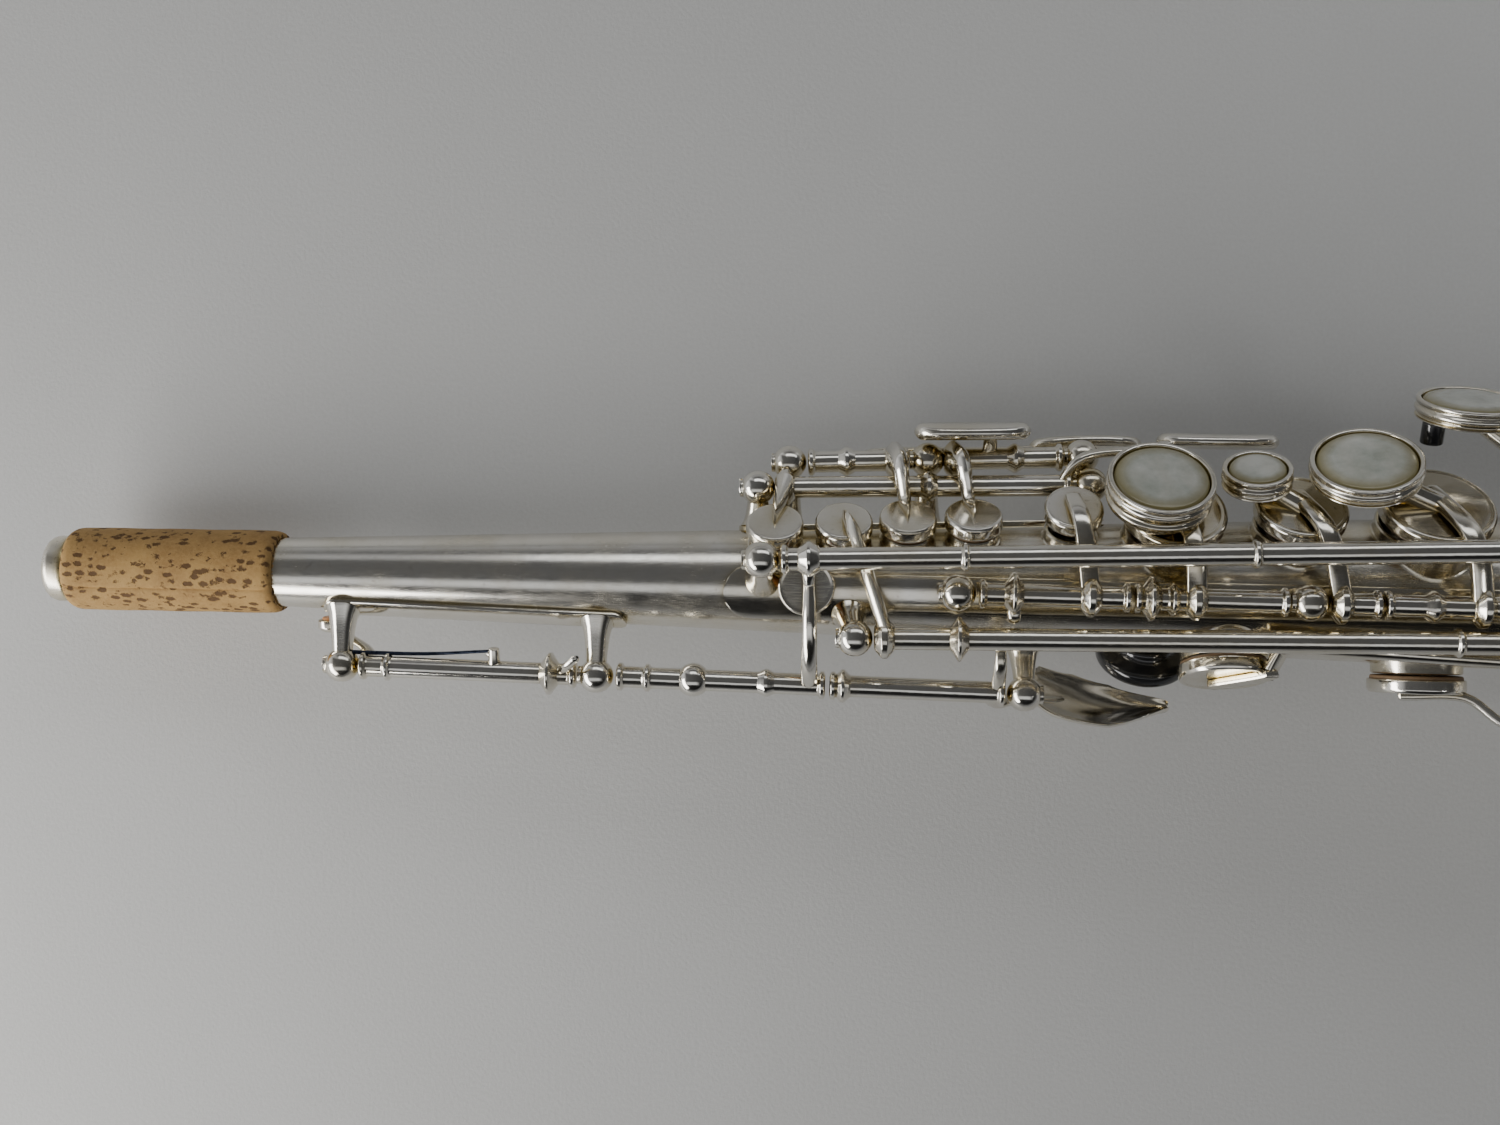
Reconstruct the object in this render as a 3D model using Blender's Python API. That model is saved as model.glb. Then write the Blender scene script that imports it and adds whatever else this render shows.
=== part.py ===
"""Straight soprano saxophone, lying on its back: body, ribs with ball posts, and every key on its own hinge.

The instrument frame is in millimetres: s runs along the body from the mouthpiece end, and phi is the angle
round the body from straight up (+Z) towards +Y. An empty called "rest" tilts that frame so that the bell rim,
the thumb hook and the pinky stop stand on the floor.
"""
import math

import bmesh
import bpy
from mathutils import Matrix, Vector

# Driving dimensions, millimetres
LENGTH = 655.0
TILT_DEG = 3.0
CONE_START = 48.0
CONE_RADIUS = 6.75
CONE_SLOPE = 0.0325
CONE_END = 545.0
BELL_PROFILE = ((545.0, 22.9), (570.0, 24.3), (592.0, 25.8), (612.0, 28.5), (630.0, 33.2), (643.0, 39.2),
                (652.0, 45.0))
BELL_RADIUS = 46.5
WALL = 0.8
GAP = 0.3
TUBE_RADIUS = 2.05
LEVER_RADIUS = 1.7
BALL_RADIUS = 3.3
POST_RADIUS = 1.5
RIB_LIFT = 1.0
CHIMNEY_WALL = 0.8
CHIMNEY_RISE = 1.6
PAD_THICK = 1.4
CUP_THICK = 1.9
ROUND_SIDES = 8
CUP_SIDES = 10
BODY_SIDES = 20


def body_radius(s):
    """Outer radius of the body at s."""
    if s <= CONE_END:
        return CONE_RADIUS + CONE_SLOPE * (s - CONE_START)
    for (s0, r0), (s1, r1) in zip(BELL_PROFILE, BELL_PROFILE[1:]):
        if s <= s1:
            return r0 + (r1 - r0) * (s - s0) / (s1 - s0)
    return BELL_RADIUS


def at(s, phi, r):
    """Point at station s, angle phi in degrees and distance r from the body's axis."""
    a = math.radians(phi)
    return Vector((s, r * math.sin(a), r * math.cos(a)))


def above(s, phi, lift):
    """Point at a height over the body's surface."""
    return at(s, phi, body_radius(s) + lift)


def outward(phi):
    return at(0.0, phi, 1.0)


# ---------------------------------------------------------------- solids
def mesh_from(points, faces):
    bm = bmesh.new()
    verts = [bm.verts.new(p) for p in points]
    for face in faces:
        bm.faces.new([verts[i] for i in face])
    bmesh.ops.recalc_face_normals(bm, faces=bm.faces)
    return bm


def loft(rings):
    """Closed solid through rings of equally many points, with flat end faces."""
    n = len(rings[0])
    points = [p for ring in rings for p in ring]
    faces = [list(range(n)), [len(points) - 1 - i for i in range(n)]]
    for k in range(len(rings) - 1):
        for i in range(n):
            j = (i + 1) % n
            faces.append([k * n + i, k * n + j, (k + 1) * n + j, (k + 1) * n + i])
    return mesh_from(points, faces)


def side_vectors(direction, up=None):
    """Two unit vectors square to a direction, the second as near to up as it can be."""
    direction = direction.normalized()
    if up is None or abs(direction.dot(up.normalized())) > 0.99:
        up = Vector((0, 0, 1)) if abs(direction.z) < 0.9 else Vector((0, 1, 0))
    across = direction.cross(up).normalized()
    return across, across.cross(direction).normalized()


def circle(centre, direction, radius, sides=ROUND_SIDES, up=None):
    across, top = side_vectors(direction, up)
    turn = 2 * math.pi / sides
    return [centre + radius * (math.cos(turn * (i + 0.5)) * across + math.sin(turn * (i + 0.5)) * top)
            for i in range(sides)]


def turned(start, direction, profile, sides=ROUND_SIDES):
    """Solid turned round a line: the profile gives (distance along it, radius)."""
    direction = direction.normalized()
    return loft([circle(start + direction * d, direction, r, sides) for d, r in profile])


def rod(p, q, radius, sides=ROUND_SIDES, end_radius=None):
    return turned(p, q - p, ((0, radius), ((q - p).length, end_radius or radius)), sides)


def ball(centre, radius, direction=Vector((0, 0, 1)), sides=ROUND_SIDES, rings=4):
    steps = [math.pi * (k + 0.35) / (rings - 0.3) for k in range(rings)]
    profile = [(-radius * math.cos(a), radius * math.sin(a)) for a in steps]
    return turned(centre, direction, profile, sides)


def strip(points, widths, thick, up, lift=0.0):
    """Flat bar swept through points; up is the side its broad face looks to."""
    rings = []
    for i, p in enumerate(points):
        before = points[max(i - 1, 0)]
        after = points[min(i + 1, len(points) - 1)]
        across, top = side_vectors(after - before, up)
        half = widths[i] / 2
        low = p + top * lift
        high = low + top * thick
        rings.append([low - across * half, low + across * half, high + across * half * 0.72,
                      high - across * half * 0.72])
    return loft(rings)


def fuse(name, solids, cutters=()):
    """One object out of overlapping solids, less the cutters."""
    base = new_object(name, solids[0])
    if len(solids) > 1:
        boolean(base, "UNION", solids[1:])
    if cutters:
        boolean(base, "DIFFERENCE", cutters)
    return base


def new_object(name, bm):
    mesh = bpy.data.meshes.new(name)
    bmesh.ops.scale(bm, vec=(0.001, 0.001, 0.001), verts=bm.verts)
    bm.to_mesh(mesh)
    bm.free()
    obj = bpy.data.objects.new(name, mesh)
    bpy.context.scene.collection.objects.link(obj)
    return obj


def joined(solids):
    whole = bmesh.new()
    for bm in solids:
        mesh = bpy.data.meshes.new("piece")
        bm.to_mesh(mesh)
        bm.free()
        whole.from_mesh(mesh)
        bpy.data.meshes.remove(mesh)
    return whole


def boolean(base, operation, solids):
    tool = new_object("tool", joined(solids))
    modifier = base.modifiers.new("shape", "BOOLEAN")
    modifier.operation = operation
    modifier.solver = "EXACT"
    modifier.use_self = True
    modifier.object = tool
    depsgraph = bpy.context.evaluated_depsgraph_get()
    result = bpy.data.meshes.new_from_object(base.evaluated_get(depsgraph))
    base.modifiers.clear()
    base.data = result
    bpy.data.objects.remove(tool)


# ---------------------------------------------------------------- materials
FINISHES = {
    "silver_plate": ((0.80, 0.78, 0.72), 0.14, 1.0),
    "blued_steel": ((0.20, 0.21, 0.24), 0.30, 1.0),
    "cork": ((0.52, 0.36, 0.20), 0.85, 0.0),
    "pearl": ((0.72, 0.72, 0.66), 0.22, 0.0),
    "leather_pad": ((0.55, 0.42, 0.28), 0.75, 0.0),
    "black_plastic": ((0.02, 0.02, 0.02), 0.25, 0.0),
}


def finish_material(slot):
    material = bpy.data.materials.get(slot)
    if material is None:
        colour, roughness, metallic = FINISHES[slot]
        material = bpy.data.materials.new(slot)
        material.use_nodes = True
        shader = material.node_tree.nodes["Principled BSDF"]
        shader.inputs["Base Color"].default_value = (*colour, 1.0)
        shader.inputs["Roughness"].default_value = roughness
        shader.inputs["Metallic"].default_value = metallic
    return material


def place(obj, slot, parent):
    """Give an object its finish and hang it under its parent empty without moving it."""
    obj.data.materials.clear()
    obj.data.materials.append(finish_material(slot))
    obj.data.shade_smooth()
    obj.data.set_sharp_from_angle(angle=math.radians(35))
    obj.parent = parent
    if parent.parent is not None:
        obj.data.transform(Matrix.Translation(-parent.location))
    return obj


# ---------------------------------------------------------------- places
FRONT = 54.0          # the line of the main tone holes, degrees
BACK = -128.0         # the thumb side

# Tone holes: station, angle, hole radius
HOLES = {
    "palm_f": (141.8, 48.0, 3.9), "high_e": (154.6, 49.0, 3.9), "palm_eb": (166.4, 53.0, 3.9),
    "palm_d": (178.5, 54.0, 3.9), "stack_c": (196.3, FRONT, 3.9), "stack_b": (214.6, 52.0, 7.7),
    "side_c": (225.5, -72.0, 7.0), "stack_bis": (237.0, FRONT, 6.8), "stack_a": (260.8, FRONT, 8.6),
    "side_bb": (262.0, -88.0, 7.2), "stack_g": (286.8, FRONT, 9.0), "g_sharp": (313.4, FRONT, 9.2),
    "f_sharp": (340.6, FRONT, 9.6), "stack_f": (369.2, FRONT, 10.2), "stack_e": (398.8, FRONT, 10.8),
    "stack_d": (429.8, FRONT, 11.2), "low_eb": (463.5, -58.0, 11.4), "low_c": (489.0, FRONT, 11.8),
    "low_cs": (525.0, 160.0, 12.0), "low_b": (557.0, 160.0, 12.5), "low_bb": (590.0, 160.0, 12.5),
}
BELL_JOINT = 508.0
NECK_JOINT = 131.0

# Hinge rods: start and end points (station, angle, distance from the axis)
RODS = {
    "octave": ((59.0, -77.0, 18.0), (188.7, -74.0, 21.0)),
    "top": ((139.8, 11.0, 20.6), (306.0, 18.0, 27.6)),
    "middle": ((175.2, -5.4, 15.9), (303.0, -8.0, 20.3)),
    "high_e": ((156.8, -33.0, 18.4), (372.0, -16.5, 25.4)),
    "palm_front": ((138.2, 83.0, 17.8), (200.6, 80.5, 19.2)),
    "palm_back": ((144.0, 93.5, 22.8), (199.6, 93.5, 24.6)),
    "side_c": ((229.0, -40.0, 15.2), (398.0, -50.0, 23.6)),
    "side_bb": ((282.0, -66.0, 20.0), (376.0, -68.0, 23.8)),
    "lower": ((322.0, 3.0, 22.0), (446.0, 3.0, 26.2)),
    "g_sharp": ((300.0, 104.0, 20.6), (336.0, 104.0, 21.8)),
    "foot": ((455.0, -4.0, 26.4), (501.0, -4.0, 27.9)),
    "low_bb": ((348.0, 98.0, 23.0), (610.0, 98.0, 36.6)),
    "low_b": ((348.0, 110.0, 23.2), (572.0, 110.0, 31.6)),
    "low_cs": ((348.0, 122.0, 23.4), (536.0, 122.0, 29.2)),
}


def on_rod(name, s):
    """Point of a hinge rod at station s."""
    start, end = (at(*p) for p in RODS[name])
    return start.lerp(end, (s - start.x) / (end.x - start.x))


def rod_direction(name):
    start, end = (at(*p) for p in RODS[name])
    return (end - start).normalized()


# ---------------------------------------------------------------- body
def surface_rings(stations, offset, sides=BODY_SIDES):
    """Circles of the body's surface, moved in or out by an offset."""
    return [circle(Vector((s, 0, 0)), Vector((1, 0, 0)), body_radius(s) + offset, sides) for s in stations]


def saddle(s0, s1, phi, half_width, low=GAP, high=1.1, round_ends=True, arc_steps=3):
    """Curved plate that lies over the body; half_width is measured along the surface."""
    rings = []
    ends = (0.0, 0.2, 1.0)
    reach = min(half_width, (s1 - s0) / 2)
    if round_ends:
        marks = [(s0 + reach * e, math.sqrt(1 - (1 - e * 0.96 - 0.04) ** 2)) for e in ends]
        marks += [(s1 - reach * e, share) for (_, share), e in zip(marks[::-1], ends[::-1])]
    else:
        marks = [(s0, 1.0), (s1, 1.0)]
    for s, share in marks:
        angle = math.degrees(half_width * share / body_radius(s))
        steps = [phi - angle + 2 * angle * i / arc_steps for i in range(arc_steps + 1)]
        bulge = (1 / math.cos(math.radians(angle / arc_steps)) - 1) * body_radius(s)
        rings.append([above(s, a, high + bulge) for a in steps] + [above(s, a, low + bulge) for a in reversed(steps)])
    return loft(rings)


def chimneys(names):
    return [rod(at(s, phi, body_radius(s) * 0.75), above(s, phi, CHIMNEY_RISE), hole + CHIMNEY_WALL, CUP_SIDES)
            for s, phi, hole in (HOLES[name] for name in names)]


def hole_cutters(names):
    return [rod(at(s, phi, 1.0), above(s, phi, CHIMNEY_RISE + 3), hole, CUP_SIDES)
            for s, phi, hole in (HOLES[name] for name in names)]


def post(s, point, root_phi=None, ball_radius=BALL_RADIUS, axis=Vector((1, 0, 0)), lean=0.0):
    """Pillar from the body up to a ball on a hinge rod."""
    phi = math.degrees(math.atan2(point.y, point.z)) if root_phi is None else root_phi
    base = above(s + lean, phi, RIB_LIFT * 0.6)
    up = point - base
    pillar = loft([circle(base, outward(phi), POST_RADIUS * 1.8, 6, axis),
                   circle(base + up * 0.25, up, POST_RADIUS * 1.3, 6, axis),
                   circle(base + up * 0.97, up, POST_RADIUS, 6, axis)])
    return [pillar, ball(point, ball_radius, axis)]


def rod_posts(name, stations, **options):
    solids = []
    for s in stations:
        solids += post(s, on_rod(name, s), axis=rod_direction(name), **options)
    return solids


def build_body(parent):
    upper = [name for name, hole in HOLES.items() if hole[0] < BELL_JOINT]
    lower = [name for name in HOLES if name not in upper]
    axis = Vector((1, 0, 0))
    neck = fuse("neck_tube", [loft(surface_rings((5.0, NECK_JOINT), 0.0))],
                [loft(surface_rings((4.0, NECK_JOINT + 1), -WALL))])
    tube = fuse("body_tube", [loft(surface_rings((NECK_JOINT + GAP, BELL_JOINT), 0.0))] + chimneys(upper),
                [loft(surface_rings((NECK_JOINT - 1, BELL_JOINT + 1), -WALL))] + hole_cutters(upper))
    stations = [BELL_JOINT + GAP] + [s for s, _ in BELL_PROFILE]
    bell_cut = [BELL_JOINT - 1] + [s for s, _ in BELL_PROFILE] + [653.0]
    cut_rings = surface_rings(bell_cut[:-1], -WALL) + [circle(Vector((653.0, 0, 0)), axis, 45.2, BODY_SIDES)]
    bell = fuse("bell", [loft(surface_rings(stations, 0.0))] + chimneys(lower),
                [loft(cut_rings)] + hole_cutters(lower))
    rim = ring("bell_rim", axis, Vector((0, 0, 0)),
               ((652.3, 43.9), (652.3, 45.6), (653.0, BELL_RADIUS), (654.4, BELL_RADIUS), (655.0, 45.7),
                (655.0, 44.9), (653.6, 43.9)), BODY_SIDES)
    joint = ring("bell_joint_ring", axis, Vector((0, 0, 0)),
                 [(BELL_JOINT - 2 + ds, body_radius(BELL_JOINT) + r)
                  for ds, r in ((0, GAP), (0, 0.9), (0.8, 1.5), (3.2, 1.5), (4.0, 0.9), (4.0, GAP))], BODY_SIDES)
    cork = ring("neck_cork", axis, Vector((0, 0, 0)),
                ((4.9, 5.75), (4.9, 7.7), (5.5, 8.0), (45.2, 8.1), (45.8, 7.8), (45.8, 7.05)), 16)
    tip = ring("tip_ring", axis, Vector((0, 0, 0)),
               ((0.4, 4.7), (0.0, 5.3), (1.2, 6.4), (4.4, 6.5), (4.6, 4.7)), 16)
    for obj in (neck, tube, bell, rim, joint, tip):
        place(obj, "silver_plate", parent)
    place(cork, "cork", parent)


def ring(name, axis, centre, profile, sides):
    """Ring turned round an axis from a closed outline of (distance along it, radius)."""
    loops = [circle(centre + axis * d, axis, r, sides) for d, r in profile]
    n = len(loops)
    points = [p for loop in loops for p in loop]
    faces = []
    for k in range(n):
        m = (k + 1) % n
        for i in range(sides):
            j = (i + 1) % sides
            faces.append([k * sides + i, k * sides + j, m * sides + j, m * sides + i])
    return new_object(name, mesh_from(points, faces))


def floor_height(s):
    """Height of the floor plane in the tilted instrument frame, under the body's axis."""
    return -BELL_RADIUS + (LENGTH - s) * math.tan(math.radians(TILT_DEG))


def build_ribs(parent):
    ribs = {
        "octave_rib": [saddle(55.2, 113.8, -62, 2.6)]
        + rod_posts("octave", (59.0, 108.2), root_phi=-62),
        "octave_end_post": [saddle(184.5, 193.0, -80, 3.2)] + rod_posts("octave", (188.7,), root_phi=-80),
        "upper_rib": [saddle(132.5, 162.0, -13, 5.0), saddle(150.0, 309.5, -11, 3.4)]
        + rod_posts("top", (139.8, 306.0), root_phi=2) + rod_posts("middle", (175.2, 237.0, 303.0))
        + rod_posts("high_e", (156.8,), lean=-1.0),
        "palm_rib": [saddle(134.5, 203.5, 103, 3.6)]
        + rod_posts("palm_front", (138.2, 200.6), root_phi=92)
        + rod_posts("palm_back", (144.0, 170.4, 199.6), root_phi=110),
        "side_key_rib": [saddle(278.0, 402.0, -58, 4.0)]
        + rod_posts("side_bb", (282.0, 376.0), ball_radius=2.9)
        + rod_posts("side_c", (398.0,), ball_radius=2.7),
        "lower_stack_rib": [saddle(318.0, 449.8, -3, 4.0)]
        + rod_posts("lower", (322.0, 384.0, 446.0)) + rod_posts("high_e", (372.0,), root_phi=-8),
        "pinky_rib": [saddle(297.0, 356.0, 114, 4.8)]
        + rod_posts("g_sharp", (300.0, 336.0), root_phi=108) + rod_posts("low_cs", (348.0,), ball_radius=2.5)
        + rod_posts("low_b", (348.0,), ball_radius=2.5) + rod_posts("low_bb", (348.0,), ball_radius=2.5)
        + pinky_stop(),
        "foot_rib": [saddle(450.6, 504.5, -4, 4.0)] + rod_posts("foot", (455.0, 501.0)),
        "bell_key_rib": [saddle(530.0, 577.0, 114, 4.5)]
        + rod_posts("low_cs", (536.0,), ball_radius=2.5) + rod_posts("low_b", (572.0,), ball_radius=2.5),
        "bell_key_foot": [saddle(604.5, 615.5, 98, 4.5)] + rod_posts("low_bb", (610.0,)),
    }
    for name, solids in ribs.items():
        place(fuse(name, solids), "silver_plate", parent)


def pinky_stop():
    """Bumper post on the little-finger side that the instrument rests on."""
    s, phi, tip_radius = 337.5, 138.0, 1.8
    reach = (floor_height(s) + tip_radius) / math.cos(math.radians(phi))
    tip = at(s, phi, reach)
    return [saddle(332.0, 343.0, 125, 7.0), rod(above(s, phi, GAP + 0.2), tip, 1.8, 8, 1.3), ball(tip, tip_radius)]


# ---------------------------------------------------------------- keys
CUP_RIM = 1.5          # a cup reaches this far past its tone hole
COLLAR = 0.6
LIFT_MM = {"small": 2.0, "raised": 3.6, "stack": 2.4, "large": 3.2}


class Key:
    """A key built shut on its hinge rod, then turned open if it stands open."""

    def __init__(self, name, rod_name, s0, s1, radius=TUBE_RADIUS):
        self.name, self.rod_name = name, rod_name
        self.start, self.end = on_rod(rod_name, s0), on_rod(rod_name, s1)
        self.axis = rod_direction(rod_name)
        self.opens = 0.0
        self.pearl = None
        self.pad = None
        length = (self.end - self.start).length
        thick = radius + COLLAR
        self.solids = [turned(self.start, self.axis, (
            (0, thick), (1.2, thick), (1.6, radius), (length - 1.6, radius), (length - 1.2, thick),
            (length, thick)))]

    def collar(self, s, thick=1.3, long=1.9):
        """Ring with a sharp crest round the tube."""
        centre = on_rod(self.rod_name, s)
        radius = TUBE_RADIUS - 0.1
        profile = ((-long / 2, radius), (-0.3, radius + thick), (0.3, radius + thick), (long / 2, radius))
        self.solids.append(turned(centre, self.axis, profile))
        return self

    def cup(self, hole_name, arm_s, wide=3.0, narrow=1.9, size="stack", opens=False, separate_pad=False, via=()):
        s, phi, hole = HOLES[hole_name]
        normal = outward(phi)
        radius = hole + CUP_RIM
        base = above(s, phi, CHIMNEY_RISE + GAP)
        if separate_pad:
            self.pad = turned(base, normal, ((0, radius - 0.5), (PAD_THICK, radius - 0.5)), CUP_SIDES)
            shell_start = PAD_THICK + GAP
        else:
            self.solids.append(turned(base, normal, ((0, radius - 0.5), (PAD_THICK + 0.3, radius - 0.5)), CUP_SIDES))
            shell_start = PAD_THICK
        shell = base + normal * shell_start
        self.solids.append(turned(shell, normal, ((0, radius - 0.2), (CUP_THICK - 0.5, radius), (CUP_THICK, radius - 0.6)),
                                  CUP_SIDES))
        self.top = shell + normal * CUP_THICK
        self.cup_normal, self.cup_radius = normal, radius
        hinge = on_rod(self.rod_name, arm_s)
        toward = (hinge - self.top)
        toward = (toward - normal * toward.dot(normal)).normalized()
        route = [hinge, *via, self.top + toward * radius * 0.98, self.top - toward * radius * 0.3]
        widths = [wide + (narrow - wide) * i / (len(route) - 1) for i in range(len(route))]
        self.solids.append(strip(route, widths, 1.3, normal, lift=-0.25))
        arm = self.top - self.start
        leads = self.axis.cross(arm)
        reach = (arm - self.axis * arm.dot(self.axis)).length
        self.sense = 1.0 if leads.dot(normal) > 0 else -1.0
        self.swing = math.degrees(LIFT_MM[size] / reach)
        self.opens = self.swing if opens else 0.0
        return self

    def pearl_holder(self, s, phi, r, radius, face_phi, lean=0.0):
        """Dish for a pearl on a stem that stands on the cup."""
        normal = (outward(face_phi) + Vector((lean, 0, 0))).normalized()
        base = at(s, phi, r)
        self.solids.append(turned(base, normal, ((0, radius - 1.6), (0.7, radius), (2.9, radius - 0.2),
                                                 (2.9, radius - 1.1), (1.5, radius - 1.1)), CUP_SIDES))
        inset = radius - 1.1 - GAP
        self.pearl = turned(base, normal, ((1.5 + GAP, inset), (2.8, inset), (3.3, inset * 0.8)), CUP_SIDES)
        self.solids.append(rod(self.top - self.cup_normal * 0.3, base + normal * 0.2, 2.2, 6, 1.5))
        return self

    def leaf(self, centre, along, normal, length, width, thick=1.7, arm=(), arm_width=3.0):
        """Leaf-shaped finger touch on an arm."""
        along = along.normalized()
        across, top = side_vectors(along, normal)
        rings = []
        for k in range(5):
            share = (k + 0.2) / 4.4
            spread = math.sin(math.pi * share) ** 0.6
            middle = centre + along * length * (share - 0.5) + top * thick * 0.6 * (spread - 1)
            rings.append([middle + across * width / 2 * spread * math.cos(a)
                          + top * thick / 2 * spread ** 0.5 * math.sin(a)
                          for a in (2 * math.pi * (i + 0.5) / 8 for i in range(8))])
        self.solids.append(loft(rings))
        if arm:
            count = len(arm)
            widths = [arm_width + (2.0 - arm_width) * i / (count - 1) * 0.5 for i in range(count)]
            self.solids.append(strip(list(arm), widths, 1.5, normal, lift=-0.75))
        return self

    def build(self, parent, slot="silver_plate"):
        hinge = bpy.data.objects.new(self.name + "_hinge", None)
        bpy.context.scene.collection.objects.link(hinge)
        hinge.parent = parent
        hinge.location = self.start * 0.001
        turn = (Matrix.Translation(self.start) @ Matrix.Rotation(math.radians(self.opens * self.sense), 4, self.axis)
                @ Matrix.Translation(-self.start))
        pieces = [(self.name, self.solids, slot), (self.name + "_pearl", self.pearl, "pearl"),
                  (self.name + "_pad", self.pad, "leather_pad")]
        for name, solids, finish in pieces:
            if solids is None:
                continue
            solids = solids if isinstance(solids, list) else [solids]
            for bm in solids:
                bmesh.ops.transform(bm, matrix=turn, verts=bm.verts)
            place(fuse(name, solids), finish, hinge)


def octave_keys():
    upper = Key("upper_octave_key", "octave", 62.7, 104.4)
    upper.collar(99.3)
    pad = above(54.9, -98, 1.7)
    upper.solids += [turned(pad, outward(-98), ((0, 1.9), (0.7, 2.3), (2.2, 2.3), (2.6, 1.7))),
                     strip([on_rod("octave", 63.6), at(62.0, -96, 14.5), pad + outward(-98) * 1.8],
                           (2.4, 2.2, 1.8), 1.2, outward(-98), -0.4)]
    hook = on_rod("octave", 91.0)
    upper.solids.append(rod(hook, hook + Vector((0, 3.8, 1.6)), 0.8, 6))
    upper.sense, upper.swing = -1.0, 7.0

    lower = Key("lower_octave_key", "octave", 112.2, 151.6)
    lower.solids.append(ball(on_rod("octave", 126.7), 3.2, lower.axis))
    lower.collar(140.5, 0.7)
    disc = at(147.9, -4, body_radius(147.9) + 2.3)
    lower.solids += [turned(disc, outward(-4), ((0, 4.6), (0.5, 5.2), (1.0, 5.2), (1.4, 4.4)), CUP_SIDES),
                     strip([on_rod("octave", 148.6), at(148.6, -52, 18.6), at(148.6, -28, 16.0),
                            disc + outward(-4) * 1.1 + Vector((0.5, 2.2, 0))],
                           (3.2, 2.8, 2.6, 2.2), 1.4, outward(-30), -0.3)]
    lower.sense, lower.swing = 1.0, 5.0

    thumb = Key("thumb_octave_lever", "octave", 152.4, 185.0)
    thumb.collar(154.9, 1.2, 2.2)
    spoon = [Vector((s, -21.5 - 0.743 * v, -7.5 + 0.669 * v))
             for s, v in ((191.5, -3.0), (197.5, 1.0), (206.0, 3.4), (217.0, 2.8))]
    thumb.solids += [strip(spoon, (6.0, 10.5, 9.5, 3.0), 1.4, outward(-138), -0.7),
                     strip([on_rod("octave", 183.0), at(183.8, -91, 22.6), at(188.5, -101, 22.4), spoon[1]],
                           (3.4, 3.2, 3.0, 2.6), 1.5, outward(-118), -0.75)]
    thumb.solids.append(strip([on_rod("octave", 183.6), at(183.6, -55, 18.6), at(183.6, -46, 16.4)],
                              (2.8, 2.4, 2.0), 1.4, outward(-50), -0.5))
    thumb.sense, thumb.swing = -1.0, 6.0

    link = Key("octave_link", "top", 143.4, 302.0)
    link.collar(148.4, 1.3, 3.2)
    link.solids.append(strip([on_rod("top", 148.4), at(148.4, 2, 19.6), at(148.4, -6, 17.3)],
                             (2.6, 2.4, 1.8), 1.4, outward(0), -0.6))
    link.solids.append(strip([on_rod("top", 291.0), at(291.0, 26, 27.4), at(291.0, 33, 26.4)],
                             (2.6, 2.4, 2.0), 1.2, outward(28), -0.4))
    link.sense, link.swing = 1.0, 4.0
    return [upper, lower, thumb, link]


def palm_keys():
    f = Key("palm_key_f", "palm_front", 141.8, 197.0).cup("palm_f", 143.4, 3.6, 1.5, "small")
    f.collar(170.5, 0.9)
    f.leaf(at(225.0, 92, 27.8), Vector((1, 0, -0.02)), outward(86), 23.0, 11.0,
           arm=(on_rod("palm_front", 195.0), at(199.0, 77, 24.6), at(209.0, 80, 25.8), at(217.0, 88, 27.2)))
    eb = Key("palm_key_eb", "palm_back", 147.6, 166.8)
    eb.cup("palm_eb", 164.2, 3.2, 1.4, "small", via=(at(164.6, 70, 20.6),))
    eb.collar(155.0, 0.9)
    eb.leaf(at(201.5, 109, 28.6), Vector((1, 0.03, 0)), outward(104), 22.0, 10.5,
            arm=(on_rod("palm_back", 157.0), at(162.0, 101, 25.6), at(184.0, 106, 26.8), at(195.0, 108, 28.0)))
    d = Key("palm_key_d", "palm_back", 174.0, 196.0)
    d.cup("palm_d", 175.4, 3.2, 1.4, "small", via=(at(176.2, 70, 20.9),))
    d.collar(187.0, 0.9)
    d.leaf(at(178.6, 86, 29.0), Vector((1, 0.02, 0)), outward(80), 22.0, 10.0,
           arm=(on_rod("palm_back", 182.0), at(182.0, 88, 27.6), at(180.0, 86, 28.6)))
    return [f, eb, d]


def side_keys():
    e = Key("side_key_e", "high_e", 160.4, 368.0).cup("high_e", 162.2, 2.6, 1.8, "small")
    e.collar(175.6)
    e.leaf(at(326.0, -84, 31.5), Vector((1, 0, 0.02)), outward(-76), 24.0, 9.5,
           arm=(on_rod("high_e", 328.0), at(327.0, -48, 29.5), at(326.0, -80, 31.0)))
    c = Key("side_key_c", "side_c", 232.0, 394.4, 1.5)
    c.cup("side_c", 233.9, 2.6, 1.8, "small", via=(at(231.8, -53, 18.1),))
    c.leaf(at(386.0, -88, 31.5), Vector((1, 0, 0.02)), outward(-78), 22.0, 9.5,
           arm=(on_rod("side_c", 388.0), at(387.0, -64, 29.5), at(386.0, -84, 31.0)))
    bb = Key("side_key_bb", "side_bb", 285.4, 372.6)
    bb.cup("side_bb", 287.4, 2.6, 1.8, "small", via=(at(285.0, -70, 25.4), at(277.0, -76, 24.4)))
    bb.leaf(at(356.0, -94, 31.5), Vector((1, 0, 0.02)), outward(-84), 22.0, 9.5,
            arm=(on_rod("side_bb", 358.0), at(357.0, -84, 29.0), at(356.0, -91, 31.0)))
    return [e, c, bb]


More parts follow.
